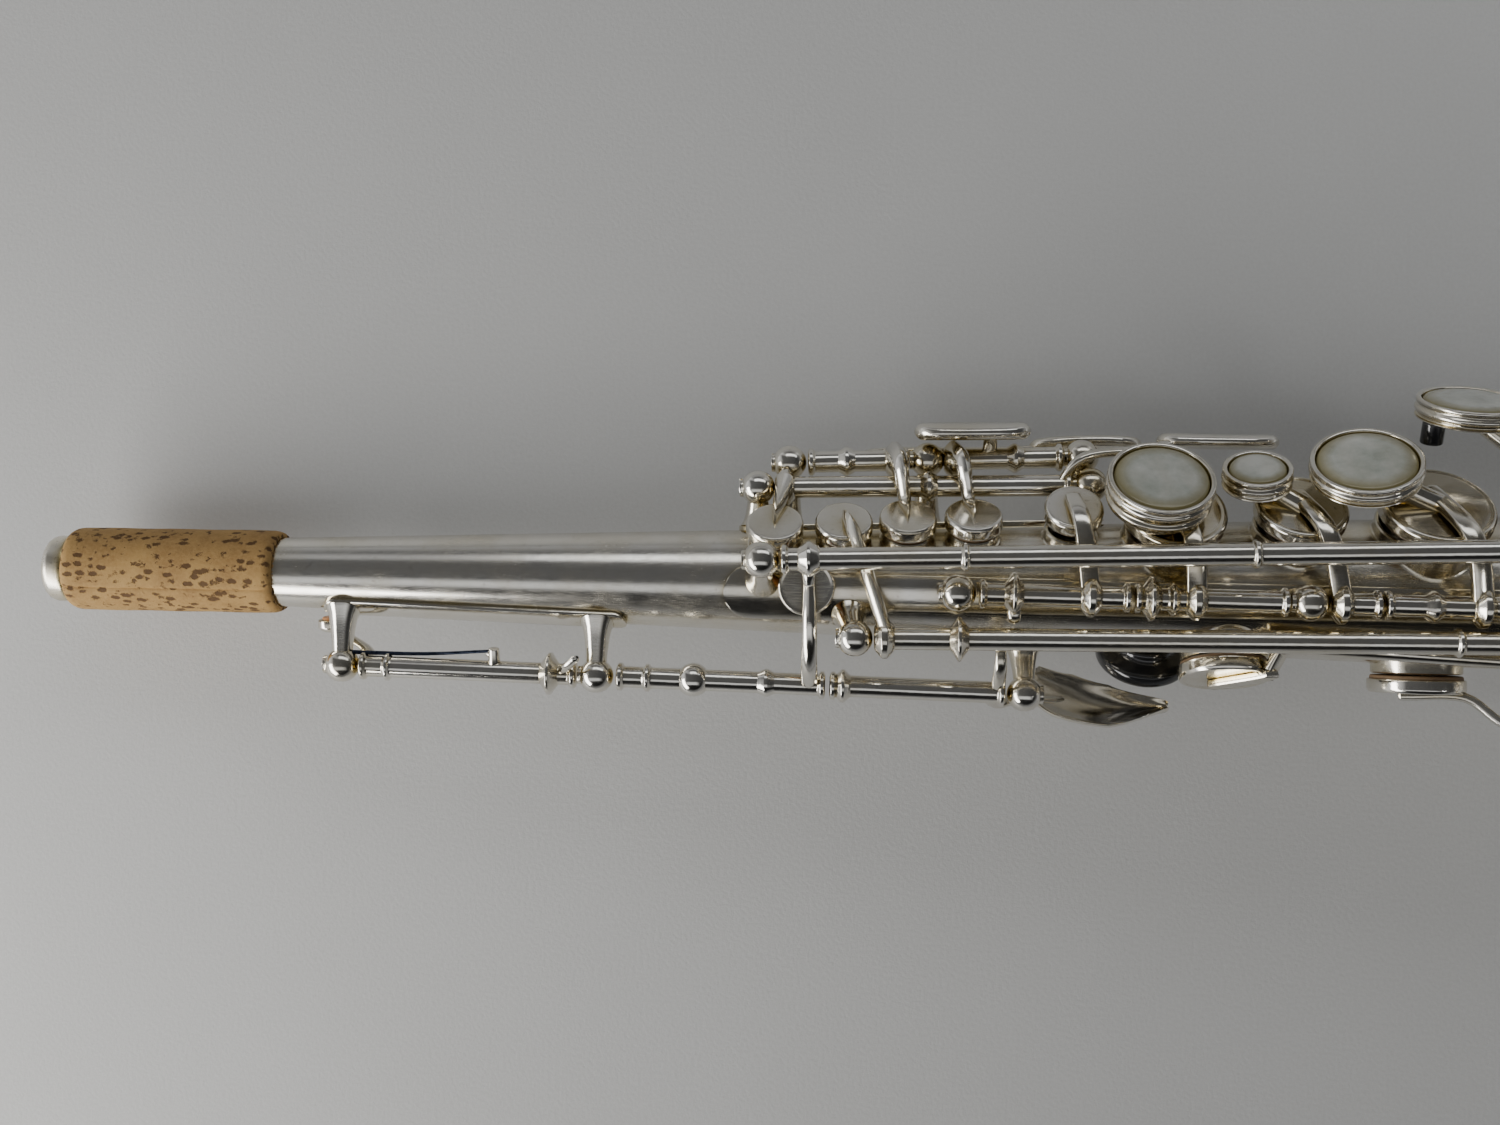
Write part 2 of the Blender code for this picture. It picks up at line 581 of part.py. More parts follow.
def upper_stack():
    c = Key("stack_key_c", "middle", 179.0, 205.8).cup("stack_c", 198.8, 2.8, 2.0, "raised", opens=True)
    c.collar(185.2)
    c.solids.append(strip([on_rod("middle", 185.2), at(185.2, -16, 18.4), at(185.2, -21, 16.6)],
                          (2.6, 2.4, 2.2), 1.3, outward(-12), -0.3))
    b = Key("stack_key_b", "middle", 206.4, 233.2).cup("stack_b", 217.2, 3.0, 2.4, opens=True)
    b.collar(209.4).collar(213.2, 1.0, 1.5)
    b.pearl_holder(210.8, 52, 22.2, 9.6, 53)
    bis = Key("stack_key_bis", "middle", 240.8, 249.0).cup("stack_bis", 242.4, 3.0, 2.4, opens=True)
    bis.pearl_holder(229.2, 65, 20.6, 6.3, 62, lean=-0.10)
    a = Key("stack_key_a", "middle", 249.6, 270.6).cup("stack_a", 266.4, 3.2, 2.6, opens=True)
    a.collar(258.0, 0.9)
    a.pearl_holder(247.6, 61, 23.6, 9.8, 57, lean=-0.14)
    g = Key("stack_key_g", "middle", 271.2, 299.2).cup("stack_g", 291.6, 3.2, 2.6, opens=True)
    g.collar(276.0, 0.9)
    g.pearl_holder(267.6, 80, 31.4, 9.6, 75)
    return [c, b, bis, a, g]


def lower_stack():
    keys = [Key("stack_key_f_sharp", "lower", 325.6, 348.0).cup("f_sharp", 341.2, 3.4, 2.8, opens=True)]
    rows = (("f", 348.8, 380.4, 366.0), ("e", 387.6, 413.6, 399.4), ("d", 414.4, 442.4, 430.0))
    for letter, s0, s1, pearl_s in rows:
        key = Key("stack_key_" + letter, "lower", s0, s1)
        key.cup("stack_" + letter, pearl_s + 2.0, 3.4, 2.8, opens=True, separate_pad=True)
        key.pearl_holder(pearl_s, FRONT - 6, body_radius(pearl_s) + 9.0, 9.2, FRONT - 5)
        keys.append(key)
    return keys


def little_finger_keys():
    gs = Key("g_sharp_key", "g_sharp", 303.6, 332.4).cup("g_sharp", 314.0, 3.2, 2.6)
    gs.leaf(at(318.0, 120, 31.0), Vector((1, 0, 0)), outward(112), 18.0, 12.0,
            arm=(on_rod("g_sharp", 322.0), at(321.5, 111, 26.6), at(319.5, 117, 30.4)))
    eb = Key("low_key_eb", "foot", 458.6, 474.6).cup("low_eb", 463.5, 3.4, 2.8, "large")
    eb.leaf(at(444.0, 17, 35.0), Vector((1, 0, 0.02)), outward(14), 18.0, 13.0,
             arm=(on_rod("foot", 460.6), at(457.0, 6, 31.5), at(448.0, 13, 34.4)))
    c = Key("low_key_c", "foot", 475.2, 497.4).cup("low_c", 489.4, 3.4, 2.8, "large", True, True)
    c.leaf(at(465.0, 17, 36.2), Vector((1, 0, 0.02)), outward(14), 18.0, 13.0,
           arm=(on_rod("foot", 479.0), at(477.5, 5, 32.6), at(468.0, 13, 35.6)))
    cs = Key("low_key_cs", "low_cs", 350.8, 533.0, LEVER_RADIUS).cup("low_cs", 525.4, 3.4, 2.8, "large")
    cs.leaf(at(398.0, 104, 34.0), Vector((1, 0, 0.03)), outward(104), 19.0, 11.0,
            arm=(on_rod("low_cs", 400.0), at(399.5, 116, 31.0), at(398.5, 108, 33.4)))
    b = Key("low_key_b", "low_b", 350.8, 569.0, LEVER_RADIUS).cup("low_b", 557.4, 3.4, 2.8, "large", True, True)
    b.leaf(at(376.0, 119, 34.0), Vector((1, 0, 0.03)), outward(112), 19.0, 11.0,
           arm=(on_rod("low_b", 378.0), at(377.5, 114, 30.6), at(376.5, 117, 33.4)))
    bb = Key("low_key_bb", "low_bb", 350.8, 606.8, LEVER_RADIUS).cup("low_bb", 590.4, 3.4, 2.8, "large", True, True)
    bb.leaf(at(354.0, 110, 34.0), Vector((1, 0, 0.03)), outward(104), 19.0, 11.0,
            arm=(on_rod("low_bb", 356.0), at(355.5, 103, 30.6), at(354.5, 108, 33.4)))
    return [gs, eb, c, cs, b, bb]


# ---------------------------------------------------------------- fittings
def build_fittings(parent):
    thumb_rest = fuse("thumb_rest", [turned(above(213.5, BACK, GAP + 0.1), outward(BACK),
                                            ((0, 5.6), (1.6, 6.2), (2.4, 9.0), (4.8, 9.2), (5.8, 8.2), (6.3, 5.6)),
                                            18)])
    place(thumb_rest, "black_plastic", parent)

    s, phi, width = 374.0, -141.0, 13.0
    tip = at(s, phi, (floor_height(s) + 1.5) / math.cos(math.radians(phi)))
    curve = [above(s + 4.0, phi, 1.6), above(s + 5.2, phi, 7.0), above(s + 3.6, phi, 11.0), tip]
    hook = [saddle(366.0, 388.0, phi, 6.0), strip(curve, (9.0, width, width, width * 0.8), 2.2,
                                                  Vector((1, 0, 0)), -1.1),
            rod(above(s + 4.0, phi, GAP + 0.3), above(s + 4.0, phi, 4.0), 3.4, 8, 2.6),
            rod(tip - Vector((0, width * 0.36, 0)), tip + Vector((0, width * 0.36, 0)), 1.5, 8)]
    place(fuse("thumb_hook", hook), "silver_plate", parent)

    s, phi = 318.0, -150.0
    normal = outward(phi)
    centre = above(s, phi, 6.4)
    across = Vector((1, 0, 0)).cross(normal)
    loops = [circle(centre + 4.2 * (math.cos(a) * Vector((1, 0, 0)) + math.sin(a) * normal),
                    -math.sin(a) * Vector((1, 0, 0)) + math.cos(a) * normal, 1.1, 6, across)
             for a in (2 * math.pi * i / 12 for i in range(12))]
    strap = [torus(loops), saddle(311.0, 325.0, phi, 3.6),
             rod(above(s, phi, GAP + 0.3), above(s, phi, 2.6), 2.2, 8, 1.5)]
    place(fuse("strap_ring", strap), "silver_plate", parent)

    guard = [saddle(538.9, 542.5, 172, 3.2), saddle(613.0, 617.0, 172, 3.2)]
    path = [above(540.6, 168, 11.0), above(557.0, 160, 13.5), above(574.0, 158, 13.0), above(590.0, 160, 12.5),
            above(612.0, 168, 8.0)]
    guard += [strip(path, [3.0] * len(path), 1.4, outward(160), -0.7),
              rod(above(540.7, 172, 0.9), above(540.7, 168, 11.2), 1.1, 6, 1.0),
              rod(above(614.8, 172, 1.0), above(611.8, 168, 8.2), 1.2, 6, 1.0)]
    place(fuse("bell_key_guard", guard), "silver_plate", parent)


def torus(loops):
    count, sides = len(loops), len(loops[0])
    points = [p for loop in loops for p in loop]
    faces = [[k * sides + i, k * sides + (i + 1) % sides, (k + 1) % count * sides + (i + 1) % sides,
              (k + 1) % count * sides + i] for k in range(count) for i in range(sides)]
    return mesh_from(points, faces)


# ---------------------------------------------------------------- the whole instrument
def main():
    for obj in list(bpy.data.objects):
        bpy.data.objects.remove(obj, do_unlink=True)
    rest = bpy.data.objects.new("rest", None)
    bpy.context.scene.collection.objects.link(rest)
    build_body(rest)
    build_ribs(rest)
    build_fittings(rest)
    for key in octave_keys() + palm_keys() + side_keys() + upper_stack() + lower_stack() + little_finger_keys():
        key.build(rest)
    stand_on_floor(rest)


def stand_on_floor(rest):
    """Tilt the instrument about Y, then bring its box's bottom centre to the origin."""
    rest.rotation_euler = (0, math.radians(-TILT_DEG), 0)
    bpy.context.view_layer.update()
    corners = [obj.matrix_world @ v.co for obj in bpy.data.objects if obj.type == "MESH" for v in obj.data.vertices]
    lows = [min(c[i] for c in corners) for i in range(3)]
    highs = [max(c[i] for c in corners) for i in range(3)]
    rest.location = (-(lows[0] + highs[0]) / 2, -(lows[1] + highs[1]) / 2, -lows[2])
    bpy.context.view_layer.update()


main()
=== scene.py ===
"""Looks for a straight soprano saxophone lying on its back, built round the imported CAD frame.

Shapes are worked out in the instrument's own frame, in millimetres: s runs along the body from the
mouthpiece end, phi is the angle round the body from straight up (+Z) towards +Y, and r the distance
from the axis. Pieces stand for CAD nodes, mostly of the same name, and ride on their bodies. A few small
ones, such as pips, resonators and the spring, are extra.
"""
import math
import random

import bmesh
import bpy
from mathutils import Matrix, Vector


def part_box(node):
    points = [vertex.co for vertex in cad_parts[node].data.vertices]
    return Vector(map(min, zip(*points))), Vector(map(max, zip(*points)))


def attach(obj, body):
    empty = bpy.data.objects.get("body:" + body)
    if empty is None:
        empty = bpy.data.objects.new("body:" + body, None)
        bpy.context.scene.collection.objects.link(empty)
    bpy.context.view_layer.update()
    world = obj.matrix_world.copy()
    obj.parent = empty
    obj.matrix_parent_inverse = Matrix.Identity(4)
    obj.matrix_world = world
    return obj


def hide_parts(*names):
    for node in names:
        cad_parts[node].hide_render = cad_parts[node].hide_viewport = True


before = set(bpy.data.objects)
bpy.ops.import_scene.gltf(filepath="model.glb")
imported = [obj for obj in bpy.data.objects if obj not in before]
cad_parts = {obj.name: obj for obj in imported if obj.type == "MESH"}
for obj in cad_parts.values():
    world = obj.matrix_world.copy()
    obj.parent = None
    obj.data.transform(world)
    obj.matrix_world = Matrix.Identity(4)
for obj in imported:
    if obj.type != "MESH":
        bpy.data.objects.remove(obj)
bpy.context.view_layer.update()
ROOT = "instrument_body"

# ---- the instrument's frame
TILT = Matrix.Rotation(math.radians(-3.0), 4, "Y")
BELL_JOINT = 508.0
low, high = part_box("bell_joint_ring")
ORIGIN = (low + high) / 2 - TILT @ Vector((BELL_JOINT * 0.001, 0, 0))
TO_WORLD = Matrix.Translation(ORIGIN) @ TILT @ Matrix.Scale(0.001, 4)

# Driving dimensions, millimetres, the same as the CAD's
CONE_START = 48.0      # station where the cork ends
CONE_RADIUS = 6.75     # outer radius there
CONE_SLOPE = 0.0325    # growth of the radius per millimetre
BELL_PROFILE = ((508.0, 21.7), (545.0, 22.9), (570.0, 24.3), (592.0, 25.8), (612.0, 28.5), (630.0, 33.2),
                (643.0, 39.2), (652.0, 45.0))
WALL = 0.8             # sheet of the body
GAP = 0.3              # clearance between neighbouring parts
TUBE_RADIUS = 2.05     # hinge tubes
LEVER_RADIUS = 1.7     # hinge tubes of the long low-key levers
BALL_RADIUS = 3.3      # posts
CHIMNEY_RISE = 1.6     # tone-hole rims over the body
CUP_TOP = 3.3          # top of a key cup over its pad's face
CUP_RIM = 1.5          # cup's radius beyond its hole's
FRONT = 54.0           # angle of the main line of tone holes
BACK = -128.0          # angle of the thumb rest
AXIS = Vector((1, 0, 0))
FULL_TURN = 2 * math.pi

# Tone holes: station, angle, hole radius
HOLES = {
    "palm_f": (141.8, 48.0, 3.9), "high_e": (154.6, 49.0, 3.9), "palm_eb": (166.4, 53.0, 3.9),
    "palm_d": (178.5, 54.0, 3.9), "stack_c": (196.3, FRONT, 3.9), "stack_b": (214.6, 52.0, 7.7),
    "side_c": (225.5, -72.0, 7.0), "stack_bis": (237.0, FRONT, 6.8), "stack_a": (260.8, FRONT, 8.6),
    "side_bb": (262.0, -88.0, 7.2), "stack_g": (286.8, FRONT, 9.0), "g_sharp": (313.4, FRONT, 9.2),
    "f_sharp": (340.6, FRONT, 9.6), "stack_f": (369.2, FRONT, 10.2), "stack_e": (398.8, FRONT, 10.8),
    "stack_d": (429.8, FRONT, 11.2), "low_eb": (463.5, -58.0, 11.4), "low_c": (489.0, FRONT, 11.8),
    "low_cs": (525.0, 160.0, 12.0), "low_b": (557.0, 160.0, 12.5), "low_bb": (590.0, 160.0, 12.5),
}

# Hinge rods: start and end points (station, angle, distance from the axis)
RODS = {
    "octave": ((59.0, -77.0, 18.0), (188.7, -74.0, 21.0)),
    "top": ((139.8, 11.0, 20.6), (306.0, 18.0, 27.6)),
    "middle": ((175.2, -5.4, 15.9), (303.0, -8.0, 20.3)),
    "high_e": ((156.8, -33.0, 18.4), (372.0, -16.5, 25.4)),
    "palm_front": ((138.2, 83.0, 17.8), (200.6, 80.5, 19.2)),
    "palm_back": ((144.0, 93.5, 22.8), (199.6, 93.5, 24.6)),
    "side_c": ((229.0, -40.0, 15.2), (398.0, -50.0, 23.6)),
    "side_bb": ((282.0, -66.0, 20.0), (376.0, -68.0, 23.8)),
    "lower": ((322.0, 3.0, 22.0), (446.0, 3.0, 26.2)),
    "g_sharp": ((300.0, 104.0, 20.6), (336.0, 104.0, 21.8)),
    "foot": ((455.0, -4.0, 26.4), (501.0, -4.0, 27.9)),
    "low_bb": ((348.0, 98.0, 23.0), (610.0, 98.0, 36.6)),
    "low_b": ((348.0, 110.0, 23.2), (572.0, 110.0, 31.6)),
    "low_cs": ((348.0, 122.0, 23.4), (536.0, 122.0, 29.2)),
}


def body_radius(s):
    """Outer radius of the body at station s."""
    if s <= BELL_JOINT:
        return CONE_RADIUS + CONE_SLOPE * (s - CONE_START)
    for (s0, r0), (s1, r1) in zip(BELL_PROFILE, BELL_PROFILE[1:]):
        if s <= s1:
            return r0 + (r1 - r0) * (s - s0) / (s1 - s0)
    return BELL_PROFILE[-1][1]


def at(s, phi, r):
    """Point at station s, angle phi in degrees and distance r from the body's axis."""
    a = math.radians(phi)
    return Vector((s, r * math.sin(a), r * math.cos(a)))


def above(s, phi, lift):
    """Point at a height over the body's surface."""
    return at(s, phi, body_radius(s) + lift)


def outward(phi):
    return at(0.0, phi, 1.0)


def on_rod(name, s):
    """Point of a hinge rod at station s."""
    start, end = (at(*p) for p in RODS[name])
    return start.lerp(end, (s - start.x) / (end.x - start.x))


def rod_direction(name):
    start, end = (at(*p) for p in RODS[name])
    return (end - start).normalized()


# ---- mesh building
def side_vectors(direction, up=None):
    """Two unit vectors square to a direction, the second as near to up as it can be."""
    direction = direction.normalized()
    if up is None or abs(direction.dot(up.normalized())) > 0.99:
        up = Vector((0, 0, 1)) if abs(direction.z) < 0.9 else Vector((0, 1, 0))
    across = direction.cross(up).normalized()
    return across, across.cross(direction).normalized()


def circle(centre, across, top, radius, sides):
    """Points round a centre, from the direction across towards top."""
    return [centre + radius * (math.cos(a) * across + math.sin(a) * top)
            for a in (FULL_TURN * i / sides for i in range(sides))]


def bulge(value, power):
    """Power of a number that keeps its sign, for rounded-square sections."""
    return math.copysign(abs(value) ** power, value)


def smooth_path(points, steps=6):
    """Points of a smooth curve through a few given ones."""
    if len(points) < 3:
        return [points[0].lerp(points[-1], k / steps) for k in range(steps + 1)]
    padded = [points[0] * 2 - points[1], *points, points[-1] * 2 - points[-2]]
    path = []
    for a, b, c, d in zip(padded, padded[1:], padded[2:], padded[3:]):
        for k in range(steps):
            t = k / steps
            path.append(0.5 * (2 * b + (c - a) * t + (2 * a - 5 * b + 4 * c - d) * t * t
                               + (3 * b - a - 3 * c + d) * t ** 3))
    path.append(points[-1].copy())
    return path


def spread(values, count):
    """Values read off evenly at a new count of places."""
    out = []
    for i in range(count):
        place = i / (count - 1) * (len(values) - 1)
        k = min(int(place), len(values) - 2)
        out.append(values[k] + (values[k + 1] - values[k]) * (place - k))
    return out


def rounded(profile, radius=0.25, steps=3):
    """The outline with its corners turned into small arcs."""
    out = [tuple(profile[0])]
    for before, corner, after in zip(profile, profile[1:], profile[2:]):
        a, b, c = (Vector((*p, 0)) for p in (before, corner, after))
        start = b + (a - b).normalized() * min(radius, (a - b).length * 0.45)
        end = b + (c - b).normalized() * min(radius, (c - b).length * 0.45)
        for k in range(steps + 1):
            t = k / steps
            p = (1 - t) ** 2 * start + 2 * t * (1 - t) * b + t * t * end
            out.append((p.x, p.y))
    out.append(tuple(profile[-1]))
    return out


class Shape:
    """Points and faces of one visible piece, gathered part by part in the instrument's frame."""

    def __init__(self):
        self.points = []
        self.faces = []

    def add(self, points, faces):
        base = len(self.points)
        self.points += points
        self.faces += [[base + i for i in face] for face in faces]
        return self

    def rings(self, rings, caps=True, closed=False):
        """Skin through rings of equally many points."""
        n, count = len(rings[0]), len(rings)
        faces = []
        for k in range(count if closed else count - 1):
            m = (k + 1) % count
            for i in range(n):
                j = (i + 1) % n
                faces.append([k * n + i, k * n + j, m * n + j, m * n + i])
        points = [p for ring in rings for p in ring]
        if caps and not closed:
            faces.append([n - 1 - i for i in range(n)])
            faces.append([(count - 1) * n + i for i in range(n)])
        return self.add(points, faces)

    def turned(self, start, direction, profile, sides=32, round_by=0.22):
        """Solid turned round a line; the profile gives (distance along it, radius)."""
        across, top = side_vectors(direction)
        direction = direction.normalized()
        outline = [(profile[0][0], 0.0), *profile, (profile[-1][0], 0.0)]
        outline = rounded(outline, round_by)[1:-1] if round_by else profile
        return self.rings([circle(start + direction * d, across, top, max(r, 0.01), sides)
                           for d, r in outline])

    def hoop(self, start, direction, profile, sides=96, round_by=0.2):
        """Ring turned round a line from a closed outline of (distance, radius)."""
        across, top = side_vectors(direction)
        outline = rounded([profile[-1], *profile, profile[0]], round_by)[1:-1]
        rings = [circle(start + direction * d, across, top, r, sides) for d, r in outline]
        return self.rings(rings, closed=True)

    def rod(self, p, q, radius, end_radius=None, sides=24):
        return self.turned(p, q - p, ((0, radius), ((q - p).length, end_radius or radius)), sides, 0.15)

    def ball(self, centre, radius, direction=Vector((0, 0, 1)), sides=28, count=14):
        angles = [math.pi * (k + 0.5) / count for k in range(count)]
        profile = [(-radius * math.cos(a), radius * math.sin(a)) for a in angles]
        return self.turned(centre, direction, profile, sides, 0)

    def wire(self, points, radius, end_radius=None, sides=12, steps=6):
        """Round wire along a smooth curve."""
        path = smooth_path(points, steps)
        radii = spread([radius, end_radius or radius], len(path))
        rings = []
        up = None
        for i, p in enumerate(path):
            ahead = path[min(i + 1, len(path) - 1)] - path[max(i - 1, 0)]
            across, up = side_vectors(ahead, up)
            rings.append(circle(p, across, up, radii[i], sides))
        return self.rings(rings)

    def bar(self, points, widths, thick, up, lift=0.0, power=3.2, tip=0.55, sides=20,
            crest=0.0, dish=0.0):
        """Bar of rounded section swept through points, its broad face to up, with a crest or a dish on it."""
        path = smooth_path(points)
        wide = spread(widths, len(path))
        rings = []
        for i, p in enumerate(path):
            ahead = (path[min(i + 1, len(path) - 1)] - path[max(i - 1, 0)]).normalized()
            across, top = side_vectors(ahead, up)
            middle = p + top * (lift + thick / 2)
            marks = [(0.0, 1.0)]
            if i == 0:
                marks = [(-0.5, tip), (-0.3, 0.5 + tip / 2), (0.0, 1.0)]
            if i == len(path) - 1:
                marks = [(0.0, 1.0), (0.3, 0.5 + tip / 2), (0.5, tip)]
            for move, share in marks:
                ring = []
                for k in range(sides):
                    a = FULL_TURN * k / sides
                    c, s = math.cos(a), math.sin(a)
                    x = bulge(c, 2 / power) * wide[i] / 2 * share
                    z = bulge(s, 2 / power) * thick / 2 * share
                    edge = abs(x) / (wide[i] / 2 * share)
                    if z > 0:
                        z *= 1 + crest * max(0.0, 1 - edge)
                    z -= dish * edge * edge
                    ring.append(middle + ahead * move + across * x + top * z)
                rings.append(ring)
        return self.rings(rings)

    def leaf(self, centre, along, normal, length, width, thick):
        """Finger touch: a rounded, domed leaf."""
        along = along.normalized()
        across, top = side_vectors(along, normal)
        count, sides = 26, 28
        rings = []
        for k in range(count + 1):
            t = -math.cos(math.pi * (0.03 + 0.94 * k / count))
            half = width / 2 * (1 - abs(t) ** 2.4) ** 0.5
            edge = min(1.0, (1 - abs(t)) * 9) ** 0.5
            middle = centre + along * length / 2 * t
            ring = []
            for i in range(sides):
                a = FULL_TURN * i / sides
                c, s = math.cos(a), math.sin(a)
                x = bulge(c, 0.75)
                z = bulge(s, 0.8) * thick / 2 * edge
                ring.append(middle + across * x * half + top * z)
            rings.append(ring)
        return self.rings(rings)

    def saddle(self, s0, s1, phi, half_width):
        """Round-ended plate that lies on the body; half_width is measured along the surface."""
        low, high, arc_steps = -0.08, 1.0, 16
        reach = min(half_width, (s1 - s0) / 2)
        steps = (0.0, 0.04, 0.15, 0.3, 0.5, 0.75, 1.0)
        marks = [(s0 + reach * e, math.sqrt(max(0.02, 1 - (1 - e) ** 2))) for e in steps]
        marks += [(s0 + s1 - s, share) for s, share in reversed(marks)]
        rings = []
        for s, share in marks:
            angle = math.degrees(half_width * share / body_radius(s))
            turns = [phi - angle + 2 * angle * i / arc_steps for i in range(arc_steps + 1)]
            edge = 0.18 / body_radius(s) * 57.3
            upper = [above(s, a, high) for a in turns[1:-1]]
            first, last = above(s, turns[0] + edge, high - 0.04), above(s, turns[-1] - edge, high - 0.04)
            sides = [above(s, turns[-1], high - 0.3), above(s, turns[-1], low)]
            other = [above(s, turns[0], low), above(s, turns[0], high - 0.3)]
            under = [above(s, a, low) for a in reversed(turns[1:-1])]
            rings.append([first, *upper, last, *sides, *under, *other])
        return self.rings(rings)

    def screw(self, centre, normal, radius, turn=0.6):
        """Slotted screw head: a disc with two raised halves and the slot between them."""
        self.turned(centre - normal * 0.6, normal, ((0, radius), (0.7, radius)), 24, 0.1)
        across, top = side_vectors(normal)
        u = across * math.cos(turn) + top * math.sin(turn)
        v = top * math.cos(turn) - across * math.sin(turn)
        for sign in (1, -1):
            arc = [math.asin(0.16) + (math.pi - 2 * math.asin(0.16)) * i / 12 for i in range(13)]
            outline = [radius * 0.97 * (math.cos(a) * u + math.sin(a) * sign * v) for a in arc]
            levels = ((0.0, 1.0), (0.45, 1.0), (0.55, 0.94))
            mid = v * sign * radius * 0.45
            self.rings([[centre + normal * h + mid + (p - mid) * k for p in outline] for h, k in levels])
        return self

    def moved(self, matrix):
        self.points = [matrix @ p for p in self.points]
        return self


MATERIALS = {}


def piece(name, shape, body, slot, replaces=(), crease=38.0, look=None, rim=None):
    """Make the object, give it its finish, and hang it on its body.

    rim is the (centre, radius) of a pearl, whose points then know how near they are to its edge.
    """
    mesh = bpy.data.meshes.new(name)
    mesh.from_pydata([TO_WORLD @ p for p in shape.points], [], shape.faces)
    if rim:
        layer = mesh.attributes.new("edge", "FLOAT", "POINT")
        layer.data.foreach_set("value", [(p - rim[0]).length / rim[1] for p in shape.points])
    bm = bmesh.new()
    bm.from_mesh(mesh)
    bmesh.ops.remove_doubles(bm, verts=bm.verts, dist=0.000002)
    bmesh.ops.recalc_face_normals(bm, faces=bm.faces)
    bm.to_mesh(mesh)
    bm.free()
    mesh.shade_smooth()
    mesh.set_sharp_from_angle(angle=math.radians(crease))
    mesh.materials.append(MATERIALS[look or slot])
    obj = bpy.data.objects.new("look_" + name, mesh)
    bpy.context.scene.collection.objects.link(obj)
    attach(obj, body)
    if replaces:
        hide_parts(*replaces)


def fixed(name, shape, slot="silver_plate", **options):
    """Piece on the instrument's body that stands for the CAD node of its name."""
    piece(name, shape, ROOT, slot, [name], **options)


# ---- materials
def node(tree, kind, inputs=(), **settings):
    """Add a shader node; inputs gives (socket, value or other node's output)."""
    made = tree.nodes.new("ShaderNode" + kind)
    for key, value in settings.items():
        setattr(made, key, value)
    for socket, value in inputs:
        if isinstance(value, bpy.types.NodeSocket):
            tree.links.new(value, made.inputs[socket])
        else:
            made.inputs[socket].default_value = value
    return made


def new_material(name, **constants):
    """Principled material with its constants on the sockets; also its tree, shader and object coordinates."""
    made = bpy.data.materials.new(name)
    made.use_nodes = True
    tree = made.node_tree
    shader = tree.nodes["Principled BSDF"]
    for key, value in constants.items():
        shader.inputs[key.replace("_", " ")].default_value = value
    place = node(tree, "TexCoord").outputs["Object"]
    return made, tree, shader, place


def scaled(tree, place, scale):
    return node(tree, "Mapping", [("Vector", place), ("Scale", scale)]).outputs["Vector"]


def noise(tree, vector, scale, detail=3.0, rough=0.55):
    return node(tree, "TexNoise", [("Vector", vector), ("Scale", scale), ("Detail", detail),
                                   ("Roughness", rough)]).outputs["Fac"]


def ramp(tree, factor, low, high, a, b):
    """Map a factor between low and high onto the range a to b."""
    return node(tree, "MapRange", [("Value", factor), ("From Min", low), ("From Max", high), ("To Min", a),
                                   ("To Max", b)]).outputs["Result"]


def mix(tree, factor, a, b):
    """Colour between a and b; the sockets are numbered because the node's names repeat."""
    return node(tree, "Mix", [(0, factor), (6, a), (7, b)], data_type="RGBA").outputs[2]


def multiply(tree, a, b, operation="MULTIPLY"):
    return node(tree, "Math", [(0, a), (1, b)], operation=operation).outputs[0]


def add(tree, a, b):
    return multiply(tree, a, b, "ADD")


def bump(tree, shader, height, strength, distance):
    made = node(tree, "Bump", [("Height", height), ("Strength", strength), ("Distance", distance)])
    tree.links.new(made.outputs["Normal"], shader.inputs["Normal"])


def silver_material(name, tarnish, rough):
    """Worn silver plate: warm tarnish in blotches and crevices, polish haze and fine scratches."""
    made, tree, shader, place = new_material(name, Metallic=1.0)
    blotch = noise(tree, place, 75.0, 5.0, 0.62)
    speck = noise(tree, place, 1100.0, 3.0)
    crevice = node(tree, "AmbientOcclusion", [("Distance", 0.006)], samples=6).outputs["AO"]
    shade = ramp(tree, crevice, 0.30, 0.97, 1.0, 0.0)
    patch = ramp(tree, blotch, 0.44, 0.70, 0.0, 1.0)
    amount = add(tree, multiply(tree, patch, 0.30), multiply(tree, shade, 0.85))
    amount = multiply(tree, amount, tarnish)
    colour = mix(tree, amount, (0.83, 0.805, 0.745, 1), (0.50, 0.405, 0.185, 1))
    dark = multiply(tree, ramp(tree, speck, 0.62, 0.74, 0.0, 0.55), tarnish)
    dark = multiply(tree, dark, add(tree, shade, 0.4))
    colour = mix(tree, dark, colour, (0.20, 0.15, 0.09, 1))
    tree.links.new(colour, shader.inputs["Base Color"])
    along = noise(tree, scaled(tree, place, (110.0, 5600.0, 5600.0)), 1.0, 2.0)
    round_lines = noise(tree, scaled(tree, place, (4400.0, 240.0, 240.0)), 1.0, 2.0)
    haze = ramp(tree, blotch, 0.3, 0.7, rough, rough * 2.2)
    haze = add(tree, haze, ramp(tree, along, 0.42, 0.7, 0.0, 0.07))
    tree.links.new(haze, shader.inputs["Roughness"])
    bump(tree, shader, add(tree, along, round_lines), 0.12, 0.00004)
    return made


